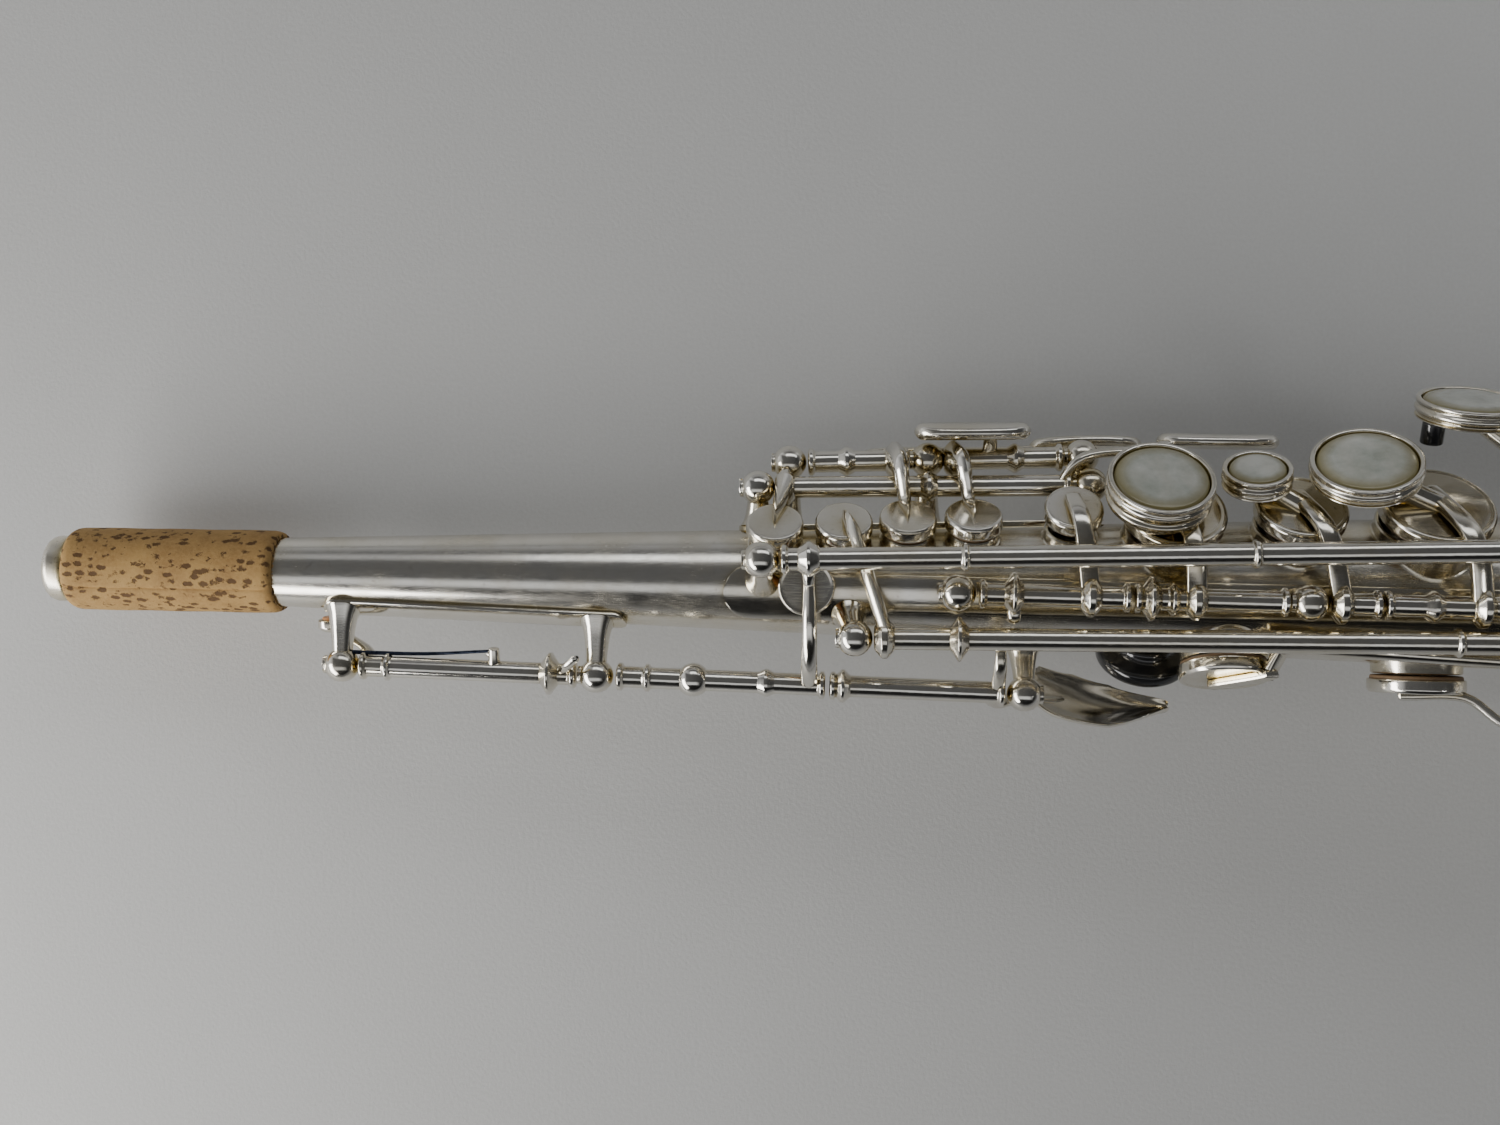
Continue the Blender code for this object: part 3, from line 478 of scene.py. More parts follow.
def cork_material():
    """Light brown cork with dark pores drawn out along the grain."""
    made, tree, shader, place = new_material("look_cork", Specular_IOR_Level=0.25)
    grain = scaled(tree, place, (330.0, 620.0, 620.0))
    pores = node(tree, "TexVoronoi", [("Vector", grain), ("Scale", 1.0)]).outputs["Distance"]
    wobble = noise(tree, place, 1500.0, 6.0, 0.65)
    broad = noise(tree, place, 160.0, 4.0)
    pit = ramp(tree, add(tree, pores, multiply(tree, wobble, 0.5)), 0.50, 0.60, 1.0, 0.0)
    streaks = noise(tree, scaled(tree, place, (420.0, 560.0, 560.0)), 1.0, 4.0, 0.6)
    big = ramp(tree, streaks, 0.60, 0.66, 0.0, 1.0)
    marks = multiply(tree, pit, big, "MAXIMUM")
    base = ramp(tree, broad, 0.35, 0.65, 0.0, 1.0)
    base = mix(tree, base, (0.46, 0.275, 0.095, 1), (0.32, 0.178, 0.060, 1))
    base = mix(tree, ramp(tree, wobble, 0.3, 0.7, 0.0, 0.6), base, (0.54, 0.355, 0.150, 1))
    colour = mix(tree, multiply(tree, marks, 0.85), base, (0.075, 0.034, 0.014, 1))
    tree.links.new(colour, shader.inputs["Base Color"])
    tree.links.new(ramp(tree, wobble, 0.3, 0.7, 0.62, 0.9), shader.inputs["Roughness"])
    height = multiply(tree, multiply(tree, wobble, 0.5), marks, "SUBTRACT")
    bump(tree, shader, height, 0.7, 0.00022)
    return made


def pearl_material():
    """Mother-of-pearl: cloudy layers under a clear polish, olive towards the edge."""
    made, tree, shader, place = new_material("look_pearl", Coat_Weight=0.6, Coat_Roughness=0.05,
                                             Roughness=0.25, Specular_IOR_Level=0.6)
    cloud = noise(tree, place, 150.0, 5.0, 0.6)
    bands = node(tree, "TexWave", [("Vector", place), ("Scale", 55.0), ("Distortion", 10.0),
                                   ("Detail", 3.0), ("Detail Scale", 1.3)]).outputs["Fac"]
    base = ramp(tree, cloud, 0.35, 0.68, 0.0, 1.0)
    base = mix(tree, base, (0.66, 0.665, 0.61, 1), (0.36, 0.385, 0.33, 1))
    colour = mix(tree, multiply(tree, bands, 0.30), base, (0.55, 0.53, 0.45, 1))
    place_in = node(tree, "Attribute", attribute_name="edge").outputs["Fac"]
    olive = ramp(tree, add(tree, place_in, multiply(tree, cloud, 0.12)), 0.74, 1.02, 0.0, 1.0)
    colour = mix(tree, olive, colour, (0.26, 0.225, 0.095, 1))
    tree.links.new(colour, shader.inputs["Base Color"])
    bump(tree, shader, bands, 0.05, 0.00005)
    return made


def plain_material(name, dark, light, scale, roughness, depth, **constants):
    """Two close colours in a fine noise, with a matching roughness and bump."""
    made, tree, shader, place = new_material(name, **constants)
    grain = noise(tree, place, scale, 5.0, 0.6)
    colour = mix(tree, ramp(tree, grain, 0.32, 0.68, 0.0, 1.0), (*dark, 1), (*light, 1))
    tree.links.new(colour, shader.inputs["Base Color"])
    tree.links.new(ramp(tree, grain, 0.3, 0.7, roughness * 0.8, roughness * 1.2), shader.inputs["Roughness"])
    bump(tree, shader, grain, 0.5, depth)
    return made


def floor_material():
    """Pale matte paper with a fine tooth and a faint mottle."""
    made, tree, shader, place = new_material("paper", Roughness=0.85, Specular_IOR_Level=0.2)
    fine = noise(tree, place, 1300.0, 4.0, 0.65)
    broad = noise(tree, place, 24.0, 3.0)
    colour = ramp(tree, broad, 0.35, 0.65, 0.0, 1.0)
    colour = mix(tree, colour, (0.60, 0.60, 0.59, 1), (0.588, 0.588, 0.578, 1))
    colour = mix(tree, ramp(tree, fine, 0.35, 0.7, 0.0, 0.35), colour, (0.50, 0.495, 0.48, 1))
    tree.links.new(colour, shader.inputs["Base Color"])
    bump(tree, shader, fine, 0.35, 0.0002)
    return made


def make_materials():
    for slot, name, tarnish, rough in (("silver_plate", "look_silver", 0.9, 0.075),
                                       ("body_silver", "look_body_silver", 1.0, 0.115),
                                       ("tip_silver", "look_tip_silver", 2.2, 0.17)):
        MATERIALS[slot] = silver_material(name, tarnish, rough)
    MATERIALS["cork"] = cork_material()
    MATERIALS["pearl"] = pearl_material()
    gloss = {"Coat_Weight": 0.5, "Coat_Roughness": 0.05}
    metal = {"Metallic": 1.0}
    plain = (
        ("leather_pad", "look_leather", (0.17, 0.105, 0.055), (0.25, 0.16, 0.085), 1400.0, 0.6, 8e-5, {}),
        ("black_plastic", "look_black", (0.01, 0.01, 0.011), (0.018, 0.018, 0.019), 500.0, 0.12, 1e-5, gloss),
        ("blued", "look_blued", (0.02, 0.028, 0.05), (0.05, 0.06, 0.09), 900.0, 0.28, 1e-5, metal),
        ("copper", "look_pip", (0.62, 0.27, 0.12), (0.72, 0.38, 0.18), 1200.0, 0.4, 4e-5, {}),
    )
    for slot, name, dark, light, scale, rough, depth, constants in plain:
        MATERIALS[slot] = plain_material(name, dark, light, scale, rough, depth, **constants)


# ---- the body
HOLE_MARGIN = 0.4      # the tube's skin ends this far inside the chimney's wall


def skin(stations, offset, holes, sides=112):
    """Points and faces of the body's surface, with its tone holes left open."""
    points, faces = [], []
    for s in stations:
        r = body_radius(s) + offset
        points += [at(s, 360.0 * i / sides, r) for i in range(sides)]
    open_point = [False] * len(points)
    for name in holes:
        s, phi, hole = HOLES[name]
        normal = outward(phi)
        side = outward(phi + 90)
        reach = hole + HOLE_MARGIN
        for i, p in enumerate(points):
            if abs(p.x - s) > reach + 1.2 or p.dot(normal) <= 0:
                continue
            x, y = p.x - s, p.dot(side)
            gap = math.hypot(x, y)
            if gap < reach - 0.45:
                open_point[i] = True
            elif gap < reach + 0.35:
                x, y = x * reach / gap, y * reach / gap
                r = body_radius(s + x) + offset
                height = math.sqrt(max(r * r - y * y, 0.01))
                points[i] = Vector((s + x, 0, 0)) + side * y + normal * height
    for k in range(len(stations) - 1):
        for i in range(sides):
            j = (i + 1) % sides
            face = [k * sides + i, k * sides + j, (k + 1) * sides + j, (k + 1) * sides + i]
            if not any(open_point[v] for v in face):
                faces.append(face)
    used = sorted({v for face in faces for v in face})
    index = {v: n for n, v in enumerate(used)}
    return [points[v] for v in used], [[index[v] for v in face] for face in faces]


def chimney(shape, name):
    """Drawn tone hole: a wall that rises out of the body with a rolled lip."""
    s, phi, hole = HOLES[name]
    base = at(s, phi, 0.0)
    normal = outward(phi)
    side = outward(phi + 90)
    top = body_radius(s) + CHIMNEY_RISE
    sides = 48
    levels = [("in", -WALL - 0.1, hole), ("top", top - 0.25, hole), ("top", top, hole + 0.25),
              ("top", top, hole + 0.62), ("top", top - 0.25, hole + 0.85), ("out", 0.55, hole + 0.85),
              ("out", 0.15, hole + 1.0), ("out", -0.1, hole + 1.5)]
    rings = []
    for kind, height, r in levels:
        ring = []
        for i in range(sides):
            a = FULL_TURN * i / sides
            x, y = r * math.cos(a), r * math.sin(a)
            lift = height
            if kind != "top":
                local = body_radius(s + x)
                lift = math.sqrt(max(local * local - y * y, 0.01)) + height
                lift = min(lift, top - 0.3)
            ring.append(base + Vector((x, 0, 0)) + side * y + normal * lift)
        rings.append(ring)
    shape.rings(rings, caps=False)


def steps(start, end, size):
    count = max(1, round((end - start) / size))
    return [start + (end - start) * k / count for k in range(count + 1)]


def build_tube(name, marks, holes, replaces):
    """Conical wall between stations, open at both ends, with its tone holes."""
    shape = Shape()
    outer, outer_faces = skin(marks, 0.0, holes)
    inner, inner_faces = skin(marks, -WALL, holes)
    shape.add(outer, outer_faces)
    shape.add(inner, [face[::-1] for face in inner_faces])
    for s in (marks[0], marks[-1]):
        r = body_radius(s)
        rings = [[at(s, 360.0 * i / 112, q) for i in range(112)] for q in (r, r - WALL)]
        shape.rings(rings, caps=False)
    for hole in holes:
        chimney(shape, hole)
    piece(name, shape, ROOT, "silver_plate", replaces, look="body_silver")


def build_body():
    upper = [name for name, hole in HOLES.items() if hole[0] < BELL_JOINT]
    lower = [name for name in HOLES if name not in upper]
    build_tube("body_tube", steps(5.0, BELL_JOINT, 1.15), upper, ["neck_tube", "body_tube"])
    bell_marks = steps(BELL_JOINT + GAP, 612.0, 1.6) + steps(612.0, 652.0, 1.2)[1:]
    build_tube("bell", bell_marks, lower, ["bell"])
    rim = ((652.3, 44.0), (652.3, 45.2), (653.0, 45.9), (654.4, 45.9), (655.0, 45.3), (655.0, 44.9),
           (653.6, 44.0))
    fixed("bell_rim", Shape().hoop(AXIS * 0, AXIS, rim, 128, 0.5))
    joint = ((0, -0.1), (0, 0.9), (0.8, 1.5), (1.5, 1.05), (2.5, 1.05), (3.2, 1.5), (4.0, 0.9), (4.0, -0.1))
    joint = [(d, body_radius(BELL_JOINT) + rise) for d, rise in joint]
    fixed("bell_joint_ring", Shape().hoop(AXIS * (BELL_JOINT - 2), AXIS, joint, 112))
    tip = ((0.45, 4.6), (0.0, 5.3), (0.5, 6.0), (1.3, 6.4), (3.9, 6.5), (4.6, 6.2), (4.6, 4.6))
    fixed("tip_ring", Shape().hoop(AXIS * 0, AXIS, tip, 72, 0.4), look="tip_silver")
    build_cork()


def build_cork():
    """Cork sleeve glued round the small end: lapped along one line, chamfered and worn at its ends."""
    rng = random.Random(7)
    stations = [4.9, 5.1, 5.7, 6.6, *steps(8.0, 43.0, 1.0), 44.2, 45.0, 45.5, 45.8]
    sides, seam = 120, -27.0
    wear = [rng.uniform(-1, 1) for _ in range(sides)]
    rings = []
    for s in stations:
        ring = []
        for i in range(sides):
            phi = seam + 360.0 * i / sides
            lap = 0.20 * min(1.0, i / 3) * max(0.0, 1 - i / 60)
            r = 8.0 + 0.04 * math.sin(s * 0.5 + i * 0.2) + lap - (0.25 if i == 0 else 0.0)
            end = min(s - stations[0], stations[-1] - s)
            r -= 0.55 * max(0.0, 1 - end / 1.5) ** 2
            shift = 0.0
            if s > 44.0:
                shift = 0.35 * wear[i] * (s - 44.0) / 1.8
                r -= 0.10 * abs(wear[(i * 3) % sides]) * (s - 44.0) / 1.8
            r = min(r, 8.1)
            ring.append(at(s + min(shift, 0.0), phi, r))
        rings.append(ring)
    for s in (stations[-1], stations[0]):
        rings.append([at(s, seam + 360.0 * i / sides, body_radius(s) + 0.1) for i in range(sides)])
    fixed("neck_cork", Shape().rings(rings, closed=True), "cork", crease=60)


# ---- ribs and posts
def floor_height(s):
    """Height of a nominal floor in the tilted frame; the CAD frame's floor is about 1.6 mm lower."""
    return -46.5 + (655.0 - s) * math.tan(math.radians(3.0))


def post(shape, rod_name, s, root_phi=None, ball_radius=BALL_RADIUS, lean=0.0, end=-1):
    """Pillar from the body up to a ball on a hinge rod, with a slotted screw in the ball's end."""
    point = on_rod(rod_name, s)
    axis = rod_direction(rod_name)
    phi = math.degrees(math.atan2(point.y, point.z)) if root_phi is None else root_phi
    base = above(s + lean, phi, 0.8)
    up = point - base
    marks = ((0.0, 3.3), (0.05, 3.1), (0.14, 2.7), (0.3, 2.4), (0.55, 2.1), (0.9, 1.8))
    if up.length < ball_radius + 1.5:
        marks = ((0.0, 2.4), (0.3, 2.0), (0.9, 1.6))
    rings = []
    foot = outward(phi)
    for share, r in marks:
        direction = foot.lerp(up.normalized(), min(1.0, share * 3))
        across, top = side_vectors(direction, axis)
        rings.append(circle(base + up * share, across, top, r, 28))
    shape.rings(rings)
    shape.ball(point, ball_radius, axis)
    slot_turn = 0.3 + 0.9 * (s % 3)
    shape.screw(point + axis * end * (ball_radius - 0.42), axis * end, ball_radius * 0.55, slot_turn)


SMALL = {"ball_radius": 2.5}
# Each rib: its plates (start, end, angle, half width) and posts (rod, stations, options)
RIBS = {
    "octave_rib": (((55.2, 113.8, -62, 2.6),), (("octave", (59.0, 108.2), {"root_phi": -62}),)),
    "octave_end_post": (((184.5, 193.0, -80, 3.2),), (("octave", (188.7,), {"root_phi": -80, "end": 1}),)),
    "upper_rib": (((132.5, 162.0, -13, 5.0), (150.0, 309.5, -11, 3.4)),
                  (("top", (139.8, 306.0), {"root_phi": 2}), ("middle", (175.2, 237.0, 303.0), {}),
                   ("high_e", (156.8,), {"lean": -1.0}))),
    "palm_rib": (((134.5, 203.5, 103, 3.6),),
                 (("palm_front", (138.2, 200.6), {"root_phi": 92}),
                  ("palm_back", (144.0, 170.4, 199.6), {"root_phi": 110}))),
    "side_key_rib": (((278.0, 402.0, -58, 4.0),),
                     (("side_bb", (282.0, 376.0), {"ball_radius": 2.9}),
                      ("side_c", (398.0,), {"ball_radius": 2.7, "end": 1}))),
    "lower_stack_rib": (((318.0, 449.8, -3, 4.0),),
                        (("lower", (322.0, 384.0, 446.0), {}),
                         ("high_e", (372.0,), {"root_phi": -8, "end": 1}))),
    "pinky_rib": (((297.0, 356.0, 114, 4.8),),
                  (("g_sharp", (300.0, 336.0), {"root_phi": 108}), ("low_cs", (348.0,), SMALL),
                   ("low_b", (348.0,), SMALL), ("low_bb", (348.0,), SMALL))),
    "foot_rib": (((450.6, 504.5, -4, 4.0),), (("foot", (455.0, 501.0), {}),)),
    "bell_key_rib": (((530.0, 577.0, 114, 4.5),),
                     (("low_cs", (536.0,), {**SMALL, "end": 1}), ("low_b", (572.0,), {**SMALL, "end": 1}))),
    "bell_key_foot": (((604.5, 615.5, 98, 4.5),), (("low_bb", (610.0,), {"end": 1}),)),
}


def build_ribs():
    for name, (plates, posts) in RIBS.items():
        rib = Shape()
        for plate in plates:
            rib.saddle(*plate)
        for rod_name, stations, options in posts:
            for s in stations:
                post(rib, rod_name, s, **options)
        if name == "pinky_rib":
            pinky_stop(rib)
        fixed(name, rib)


def pinky_stop(shape):
    """Bumper post on the little-finger side, reaching down towards the floor."""
    s, phi, tip_radius = 337.5, 138.0, 1.8
    reach = (floor_height(s) + tip_radius) / math.cos(math.radians(phi))
    tip = at(s, phi, reach)
    shape.saddle(332.0, 343.0, 125, 7.0)
    shape.rod(above(s, phi, GAP + 0.2), tip, 1.8, 1.3)
    shape.ball(tip, tip_radius)


# ---- keys
LIFT_MM = {"small": 2.0, "raised": 3.6, "stack": 2.4, "large": 3.2}


class Key:
    """A key built shut on its hinge rod, then turned open if it stands open."""

    def __init__(self, name, rod_name, s0, s1, radius=TUBE_RADIUS):
        self.name, self.rod_name, self.radius = name, rod_name, radius
        self.start = on_rod(rod_name, s0)
        self.axis = rod_direction(rod_name)
        self.angle = 0.0
        self.metal = Shape()
        self.extras = []
        self.pearl_rim = None
        length = (on_rod(rod_name, s1) - self.start).length
        thick = radius + 0.6
        half = ((0, radius + 0.1), (0.3, thick), (0.9, thick), (1.4, radius), (1.9, radius))
        tube = [*half, *((length - d, r) for d, r in reversed(half))]
        self.metal.turned(self.start, self.axis, tube, 28, 0.15)

    def collar(self, s, thick=2.1, long=2.6):
        """Ring with a sharp crest round the tube."""
        radius = self.radius - 0.1
        self.metal.turned(on_rod(self.rod_name, s), self.axis, (
            (-long / 2 - 0.5, radius), (-long / 2, radius + thick * 0.3), (-0.25, radius + thick),
            (0.25, radius + thick), (long / 2, radius + thick * 0.3), (long / 2 + 0.5, radius)), 32, 0.12)
        return self

    def extra(self, suffix, shape, slot, look=None, replaces=()):
        self.extras.append((self.name + suffix, shape, slot, look, list(replaces)))
        return self

    def cup(self, hole_name, arm_s, wide=3.0, narrow=1.9, size="stack", opens=False, pad_node=False, via=(),
            wedge=False):
        s, phi, hole = HOLES[hole_name]
        normal = outward(phi)
        r = hole + CUP_RIM
        base = above(s, phi, CHIMNEY_RISE + GAP)
        rise = GAP if pad_node else 0.0
        pad = Shape().turned(base, normal, ((0, r - 0.9), (0.15, r - 0.55), (1.3, r - 0.5)), 48, 0.2)
        self.extra("_pad", pad, "leather_pad", replaces=[self.name + "_pad"] if pad_node else ())
        if hole > 6:
            disc = ((0, hole * 0.45), (0.2, hole * 0.55), (0.6, hole * 0.55))
            disc = Shape().turned(base - normal * 0.12, normal, disc, 32, 0.1)
            self.extra("_resonator", disc, "silver_plate")
        step = 0.35 if hole < 5 else 0.5
        sunk = 3.3 if hole < 5 else 3.08
        self.metal.turned(base, normal, (
            (0.75 + rise, r - 0.35), (0.75 + rise, r - 0.05), (1.2 + rise, r), (2.65 + rise, r - 0.02),
            (3.25 + rise, r - 0.35), (3.3 + rise, r - step - 0.35), (sunk + rise, r - step - 0.7),
            (sunk + rise, r - step - 1.0)), 56, 0.18)
        self.top = base + normal * (CUP_TOP + rise)
        hinge = on_rod(self.rod_name, arm_s)
        toward = hinge - self.top
        toward = (toward - normal * toward.dot(normal)).normalized()
        near = -0.05 if wedge else 0.3
        route = [hinge, *via, self.top + toward * r * 0.98, self.top - toward * r * near]
        if wedge:
            route = [hinge + normal * self.radius, *via, self.top + toward * r * 0.8 + normal * 0.5, self.top]
            widths = [wide, *[(wide + narrow) / 2 + 0.4] * len(via), narrow + 0.9, 0.7]
            self.metal.bar(route, widths, 2.2, normal, -0.9, power=2.0, tip=0.3, crest=0.6)
        else:
            widths = spread([wide + 0.9, narrow + 0.9], len(route))
            self.metal.bar(route, widths, 1.6, normal, -0.3, power=5.0, tip=0.8, crest=0.3)
        self.hug(arm_s)
        arm = self.top - self.start
        reach = (arm - self.axis * arm.dot(self.axis)).length
        sense = 1.0 if self.axis.cross(arm).dot(normal) > 0 else -1.0
        self.angle = math.degrees(LIFT_MM[size] / reach) * sense if opens else 0.0
        return self

    def hug(self, s):
        """Crested ring where an arm is brazed to the tube."""
        crest = 1.6 if self.radius > 2 else 0.6
        self.metal.turned(on_rod(self.rod_name, s), self.axis, (
            (-1.9, self.radius), (-1.5, self.radius + crest * 0.35), (-0.5, self.radius + crest),
            (0.5, self.radius + crest), (1.5, self.radius + crest * 0.35), (1.9, self.radius)), 32, 0.18)

    def pearl_holder(self, s, phi, r, radius, face_phi, lean=0.0, deep=0.0):
        """Rolled dish that holds a pearl, on a stem that stands on the cup."""
        normal = (outward(face_phi) + Vector((lean, 0, 0))).normalized()
        base = at(s, phi, r)
        self.metal.turned(base, normal, (
            (-0.1, radius - 2.6), (0.35, radius - 0.5), (0.75, radius), (1.25, radius), (1.65, radius - 0.35),
            (1.95, radius - 0.45), (2.45, radius - 0.1), (2.95, radius - 0.2), (3.05, radius - 0.6),
            (2.85, radius - 1.05), (1.7, radius - 1.2)), 64, 0.2)
        if deep:
            self.metal.turned(base, normal, (
                (-deep, radius * 0.68), (-deep * 0.8, radius * 0.82), (-deep * 0.62, radius * 0.84),
                (-deep * 0.52, radius * 0.95), (-deep * 0.26, radius * 0.99), (-deep * 0.14, radius * 0.92),
                (0.4, radius - 0.6)), 64, 0.3)
        inset = radius - 1.25
        dome = ((1.75, 1.0), (2.45, 1.0), (2.85, 0.95), (3.15, 0.8), (3.3, 0.5), (3.35, 0.2))
        pearl = Shape().turned(base, normal, [(rise, inset * share) for rise, share in dome], 64, 0.2)
        self.pearl_rim = (base + normal * 2.4, inset)
        self.extra("_pearl", pearl, "pearl", replaces=[self.name + "_pearl"])
        self.metal.rod(self.top - outward(face_phi) * 0.5, base + normal * 0.2, 2.3, 1.7)
        return self

    def touch(self, place, tilt, facing, length, width, arm_s, *arm, thick=1.9):
        """Leaf-shaped finger touch, on an arm that leaves the rod at station arm_s."""
        normal = outward(facing)
        self.metal.leaf(at(*place), Vector((1, *tilt)), normal, length, width, thick)
        path = [on_rod(self.rod_name, arm_s), *(at(*p) for p in arm)]
        self.metal.bar(path, (3.0, 2.1), 1.6, normal, -0.8, power=2.4, tip=0.4, crest=0.3)

    def bar(self, arm_s, points, widths, thick, facing, lift, crest=0.2):
        """Arm that leaves the rod at station arm_s, with its broad face to the angle facing."""
        path = [on_rod(self.rod_name, arm_s), *points]
        self.metal.bar(path, widths, thick, outward(facing), lift, power=2.6, tip=0.5, crest=crest)

    def build(self):
        turn = (Matrix.Translation(self.start) @ Matrix.Rotation(math.radians(self.angle), 4, self.axis)
                @ Matrix.Translation(-self.start))
        piece(self.name, self.metal.moved(turn), self.name, "silver_plate", [self.name])
        for name, shape, slot, look, replaced in self.extras:
            rim = (turn @ self.pearl_rim[0], self.pearl_rim[1]) if slot == "pearl" else None
            piece(name, shape.moved(turn), self.name, slot, replaced, look=look, rim=rim)


def octave_keys():
    upper = Key("upper_octave_key", "octave", 62.7, 104.4)
    upper.collar(99.3).collar(68.0, 0.7, 1.2)
    pad = above(54.9, -98, 1.7)
    normal = outward(-98)
    upper.metal.turned(pad, normal, ((0.4, 1.9), (0.6, 2.4), (2.0, 2.4), (2.6, 1.9), (3.0, 1.1)), 28, 0.15)
    pip = Shape().turned(pad, normal, ((0, 1.5), (0.5, 1.7)), 24, 0.1)
    upper.extra("_pip", pip, "leather_pad", "copper")
    upper.bar(63.6, (at(62.0, -96, 14.5), pad + normal * 1.8), (2.6, 2.4, 1.9), 1.3, -98, -0.4)
    hook = on_rod("octave", 88.6)
    upper.metal.rod(hook, hook + Vector((0.2, 4.4, 1.5)), 1.25, 1.0)
    upper.metal.rod(hook + Vector((0.2, 3.0, 1.0)), hook + Vector((-1.1, 3.6, 1.2)), 0.7, 0.6)
    upper.bar(101.5, (at(103.0, -64, 18.6), at(105.0, -57, 17.8)), (2.2, 2.0, 1.5), 1.1, -70, -0.4)

    lower = Key("lower_octave_key", "octave", 112.2, 151.6)
    lower.metal.ball(on_rod("octave", 126.7), 3.2, lower.axis)
    lower.collar(140.5, 0.7).collar(118.0, 0.7, 1.3)
    disc = at(147.9, -4, body_radius(147.9) + 2.3)
    normal = outward(-4)
    dish = ((0, 4.6), (0.3, 5.2), (1.1, 5.25), (1.4, 4.9), (1.3, 4.4), (1.3, 3.6))
    lower.metal.turned(disc, normal, dish, 48, 0.12)
    pip = Shape().turned(disc - normal * 0.5, normal, ((0, 3.4), (0.6, 3.6)), 32, 0.15)
    lower.extra("_pip", pip, "leather_pad", "copper")
    path = (at(148.6, -52, 18.6), at(148.6, -28, 16.0), disc + normal * 1.1 + Vector((0.5, 2.2, 0)))
    lower.bar(148.6, path, (3.4, 3.0, 2.7, 2.2), 1.5, -30, -0.3, 0.5)

    thumb = Key("thumb_octave_lever", "octave", 152.4, 185.0)
    thumb.collar(154.9, 1.2, 2.2)
    spoon = [Vector((s, -21.5 - 0.743 * v, -7.5 + 0.669 * v))
             for s, v in ((191.5, -3.0), (197.5, 1.0), (206.0, 3.4), (217.0, 2.8))]
    widths = (7.0, 11.0, 10.0, 2.0)
    thumb.metal.bar(spoon, widths, 1.5, outward(-138), -0.75, power=4.0, tip=0.6, sides=36, dish=1.5)
    path = (at(183.8, -91, 22.6), at(188.5, -101, 22.4), spoon[1])
    thumb.bar(183.0, path, (3.4, 3.2, 3.0, 2.6), 1.5, -118, -0.75)
    thumb.bar(183.6, (at(183.6, -55, 18.6), at(183.6, -46, 16.4)), (2.8, 2.4, 2.0), 1.4, -50, -0.5)

    link = Key("octave_link", "top", 143.4, 302.0)
    link.collar(148.4, 1.3, 3.2).collar(176.0, 0.6, 1.2).collar(226.0, 0.6, 1.2)
    link.bar(148.4, (at(148.4, 5, 19.8), at(148.4, 0, 18.7)), (2.6, 2.4, 1.8), 1.4, 0, -0.3)
    link.bar(291.0, (at(291.0, 26, 27.4), at(291.0, 33, 26.4)), (2.6, 2.4, 2.0), 1.2, 28, -0.4)
    return [upper, lower, thumb, link]


def palm_keys():
    f = Key("palm_key_f", "palm_front", 141.8, 197.0).cup("palm_f", 143.4, 3.6, 1.5, "small", wedge=True)
    f.collar(170.5, 0.9)
    f.touch((225.0, 92, 27.8), (0, -0.02), 86, 23.0, 11.0, 195.0, (199.0, 77, 24.6), (209.0, 80, 25.8),
            (217.0, 88, 27.2), thick=3.0)
    eb = Key("palm_key_eb", "palm_back", 147.6, 166.8)
    eb.cup("palm_eb", 164.2, 3.6, 1.6, "small", via=(at(164.8, 74, 23.6),), wedge=True)
    eb.collar(155.0, 0.9)
    eb.touch((201.5, 109, 28.6), (0.03, 0), 104, 22.0, 10.5, 157.0, (162.0, 101, 25.6), (184.0, 106, 26.8),
             (195.0, 108, 28.0), thick=3.0)
    d = Key("palm_key_d", "palm_back", 174.0, 196.0)
    d.cup("palm_d", 175.4, 3.6, 1.6, "small", via=(at(176.4, 74, 23.9),), wedge=True)
    d.collar(187.0, 0.9)
    d.touch((178.6, 86, 29.0), (0.02, 0), 80, 22.0, 10.0, 182.0, (182.0, 88, 27.6), (180.0, 86, 28.6),
            thick=3.2)
    return [f, eb, d]


def side_keys():
    e = Key("side_key_e", "high_e", 160.4, 368.0).cup("high_e", 162.2, 2.6, 1.8, "small", wedge=True)
    e.collar(175.6).collar(262.0, 0.6, 1.2)
    e.touch((326.0, -84, 31.5), (0, 0.02), -76, 24.0, 9.5, 328.0, (327.0, -48, 29.5), (326.0, -80, 31.0))
    c = Key("side_key_c", "side_c", 232.0, 394.4, 1.5)
    c.cup("side_c", 233.9, 2.6, 1.8, "small", via=(at(231.8, -53, 18.1),))
    c.touch((386.0, -88, 31.5), (0, 0.02), -78, 22.0, 9.5, 388.0, (387.0, -64, 29.5), (386.0, -84, 31.0))
    bb = Key("side_key_bb", "side_bb", 285.4, 372.6)
    bb.cup("side_bb", 287.4, 2.6, 1.8, "small", via=(at(285.0, -70, 25.4), at(277.0, -76, 24.4)))
    bb.touch((356.0, -94, 31.5), (0, 0.02), -84, 22.0, 9.5, 358.0, (357.0, -84, 29.0), (356.0, -91, 31.0))
    return [e, c, bb]


